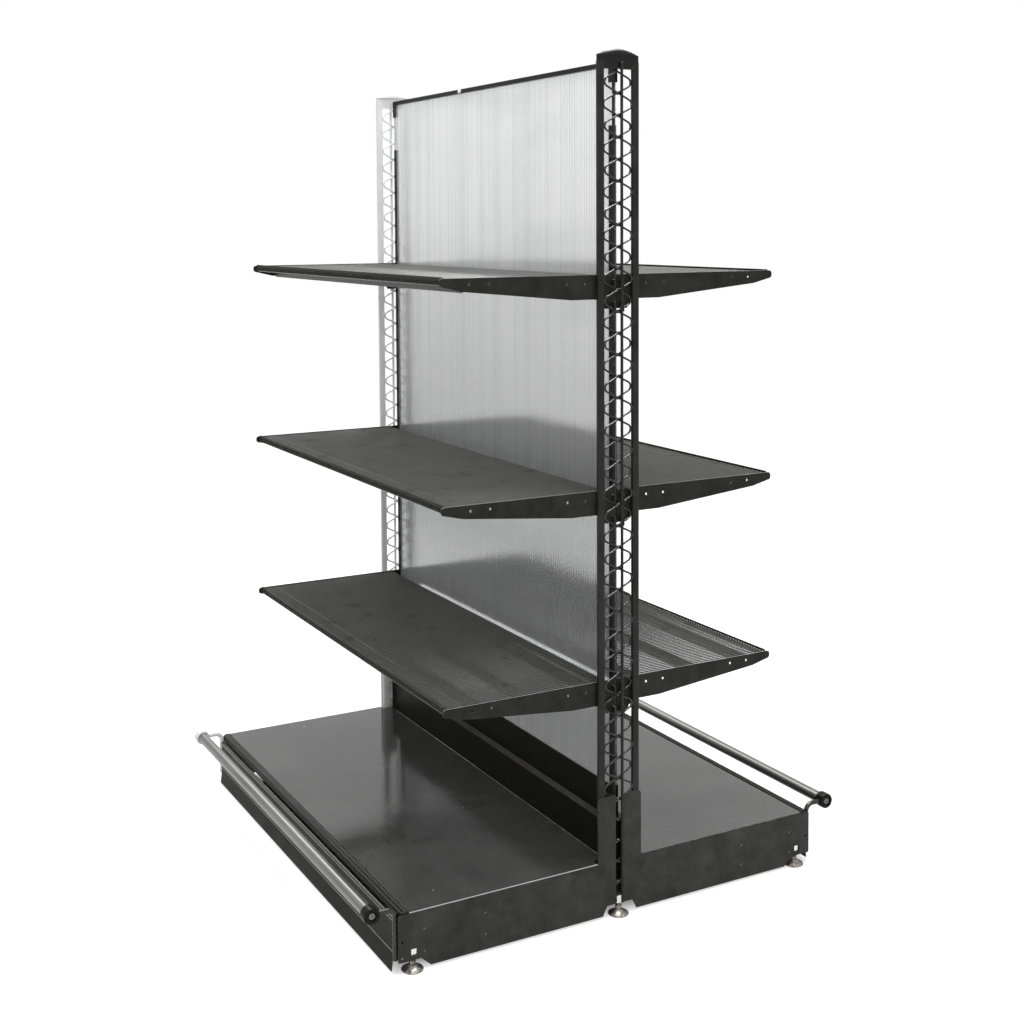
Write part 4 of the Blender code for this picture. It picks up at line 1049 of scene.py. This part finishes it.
foot_zinc = worn_zinc()
spots = {"front": (FOOT_AT[0], -FOOT_AT[1]), "middle": (POST_X, 0.0), "rear": FOOT_AT}
for spot, (x, y) in spots.items():
    for end in ENDS:
        where = spot + "_" + ENDS[end]
        centre = Vector((end * x, y, 0.0))

        def on_floor(a, b, t):
            return centre + Vector((a, b, t))

        pad = bmesh.new()
        turned(pad, PAD_PROFILE, on_floor, 36)
        piece("disc_" + where, pad, foot_zinc, "foot_pad_" + where, ["foot_pad_" + where])
        stem = bmesh.new()
        thread = [(0, STEM_Z[0]), (STEM_R * 0.82, STEM_Z[0])]
        steps = int((STEM_Z[1] - STEM_Z[0]) / THREAD_PITCH)
        for i in range(steps):
            thread.append((STEM_R, STEM_Z[0] + THREAD_PITCH * (i + 0.5)))
            thread.append((STEM_R * 0.84, STEM_Z[0] + THREAD_PITCH * (i + 1)))
        thread.append((0, STEM_Z[0] + THREAD_PITCH * steps))
        turned(stem, thread, on_floor, 20)
        low, high = HEX_Z
        collar = [(0, low), (HEX_R * 0.92, low), (HEX_R, low + HEX_EDGE)]
        collar += [(HEX_R, high - HEX_EDGE), (HEX_R * 0.92, high), (0, high)]
        turned(stem, collar, on_floor, 6)
        piece("stem_" + where, stem, foot_zinc, "foot_stem_" + where, ["foot_stem_" + where])


# Stage: a plain pale floor, a white surround, two long soft lamps overhead, a weak one behind the camera,
# lamps that show only as gleams in the gloss, and the camera where the photograph was taken.
FLOOR_HALF = 40.0
FLOOR_TONES = (colour(0.55, 0.55, 0.55), colour(0.56, 0.56, 0.56))
FLOOR_LIFT = 0.70
# Footprint of the base, where the floor's glow is taken away as painted shadow.
SHADOW_UNDER_BASE = ((0.560, 0.634), (0.520, 0.584))
AMBIENT = 0.56
LAMPS = (
    ("overhead_front", (0.0, -0.55, 6.0), (5.5, 1.5), 210.0, True),
    ("overhead_rear", (0.0, 1.8, 5.6), (5.5, 1.0), 110.0, True),
    ("fill", (5.2, -2.2, 3.0), (2.4, 2.4), 60.0, True),
    ("gleam_front", (0.0, -0.55, 6.1), (5.5, 1.5), 900.0, False),
    ("gleam_rear", (0.0, 1.8, 5.7), (5.5, 0.8), 220.0, False),
    ("gleam_far", (-6.5, 0.0, 5.5), (1.6, 3.2), 130.0, False),
)
LAMP_AIM = Vector((0.0, 0.0, 0.9))
CAMERA_AT = Vector((3.41371, -1.80724, 1.63314))
CAMERA_TURN = (math.radians(61.42), math.radians(3.64), math.radians(-0.33))
CAMERA_SENSOR = 36.0
CAMERA_LENS = 50.592
CAMERA_SHIFT = (0.003838, -0.19234)
CAMERA_REACH = 200.0

scene = bpy.context.scene
scene.view_settings.view_transform = "Standard"


def seen_rays(tree):
    """1 for what the camera sees directly, in a gloss or through a clear sheet."""
    path = node(tree, "LightPath").outputs
    shown = math_node(tree, "MAXIMUM", path["Is Camera Ray"], path["Is Glossy Ray"])
    return math_node(tree, "MAXIMUM", shown, path["Is Transmission Ray"])


floor_material, tree, shader = finish("pale_floor", {"Roughness": 0.9, "Specular IOR Level": 0.0})
floor_spot = node(tree, "TexCoord").outputs["Object"]
grit = node(tree, "TexNoise", {"Vector": floor_spot, "Scale": 30.0, "Detail": 3.0})
floor_tone = tint(tree, grit.outputs[0], *FLOOR_TONES)
tree.links.new(floor_tone, shader.inputs["Base Color"])
shader.inputs["Emission Color"].default_value = colour(1.0, 1.0, 1.0)
lift = math_node(tree, "MULTIPLY", seen_rays(tree), FLOOR_LIFT)
spans = node(tree, "SeparateXYZ", {"Vector": floor_spot}).outputs
# Painted shadow: the floor loses its glow under the base.
outside = [ramp(tree, math_node(tree, "ABSOLUTE", spans[i]), *SHADOW_UNDER_BASE[i]) for i in (0, 1)]
lift = math_node(tree, "MULTIPLY", lift, math_node(tree, "MAXIMUM", *outside))
tree.links.new(lift, shader.inputs["Emission Strength"])
floor_mesh = bpy.data.meshes.new("floor")
corners = rectangle(-FLOOR_HALF, FLOOR_HALF, -FLOOR_HALF, FLOOR_HALF)
floor_mesh.from_pydata([(x, y, 0) for x, y in corners], [], [(0, 1, 2, 3)])
floor_mesh.materials.append(floor_material)
floor = bpy.data.objects.new("floor", floor_mesh)
scene.collection.objects.link(floor)

surround = bpy.data.worlds.new("white_surround")
surround.use_nodes = True
scene.world = surround
tree = surround.node_tree
strength = ramp(tree, seen_rays(tree), 0.0, 1.0, AMBIENT, 1.0)
tree.links.new(strength, tree.nodes["Background"].inputs["Strength"])
tree.nodes["Background"].inputs["Color"].default_value = colour(1.0, 1.0, 1.0)

for name, place, (length, width), power, lights_all in LAMPS:
    light = bpy.data.lights.new(name, "AREA")
    light.shape = "RECTANGLE"
    light.size = length
    light.size_y = width
    light.energy = power
    lamp = bpy.data.objects.new(name, light)
    lamp.location = place
    lamp.rotation_euler = (LAMP_AIM - Vector(place)).to_track_quat("-Z", "Y").to_euler()
    lamp.visible_camera = False
    lamp.visible_diffuse = lights_all
    lamp.visible_transmission = lights_all
    scene.collection.objects.link(lamp)

yaw, pitch, roll = CAMERA_TURN
ahead = Vector((-math.sin(yaw), math.cos(yaw), 0.0))
aside = Vector((math.cos(yaw), math.sin(yaw), 0.0))
upward = Vector((0.0, 0.0, 1.0))
look = ahead * math.cos(pitch) - upward * math.sin(pitch)
head = upward * math.cos(pitch) + ahead * math.sin(pitch)
view_right = aside * math.cos(roll) + head * math.sin(roll)
view_up = head * math.cos(roll) - aside * math.sin(roll)
lens = bpy.data.cameras.new("camera")
lens.sensor_width = CAMERA_SENSOR
lens.lens = CAMERA_LENS
lens.shift_x, lens.shift_y = CAMERA_SHIFT
lens.clip_end = CAMERA_REACH
camera = bpy.data.objects.new("camera", lens)
camera.matrix_world = Matrix((view_right, view_up, -look)).transposed().to_4x4()
camera.location = CAMERA_AT
scene.collection.objects.link(camera)
scene.camera = camera
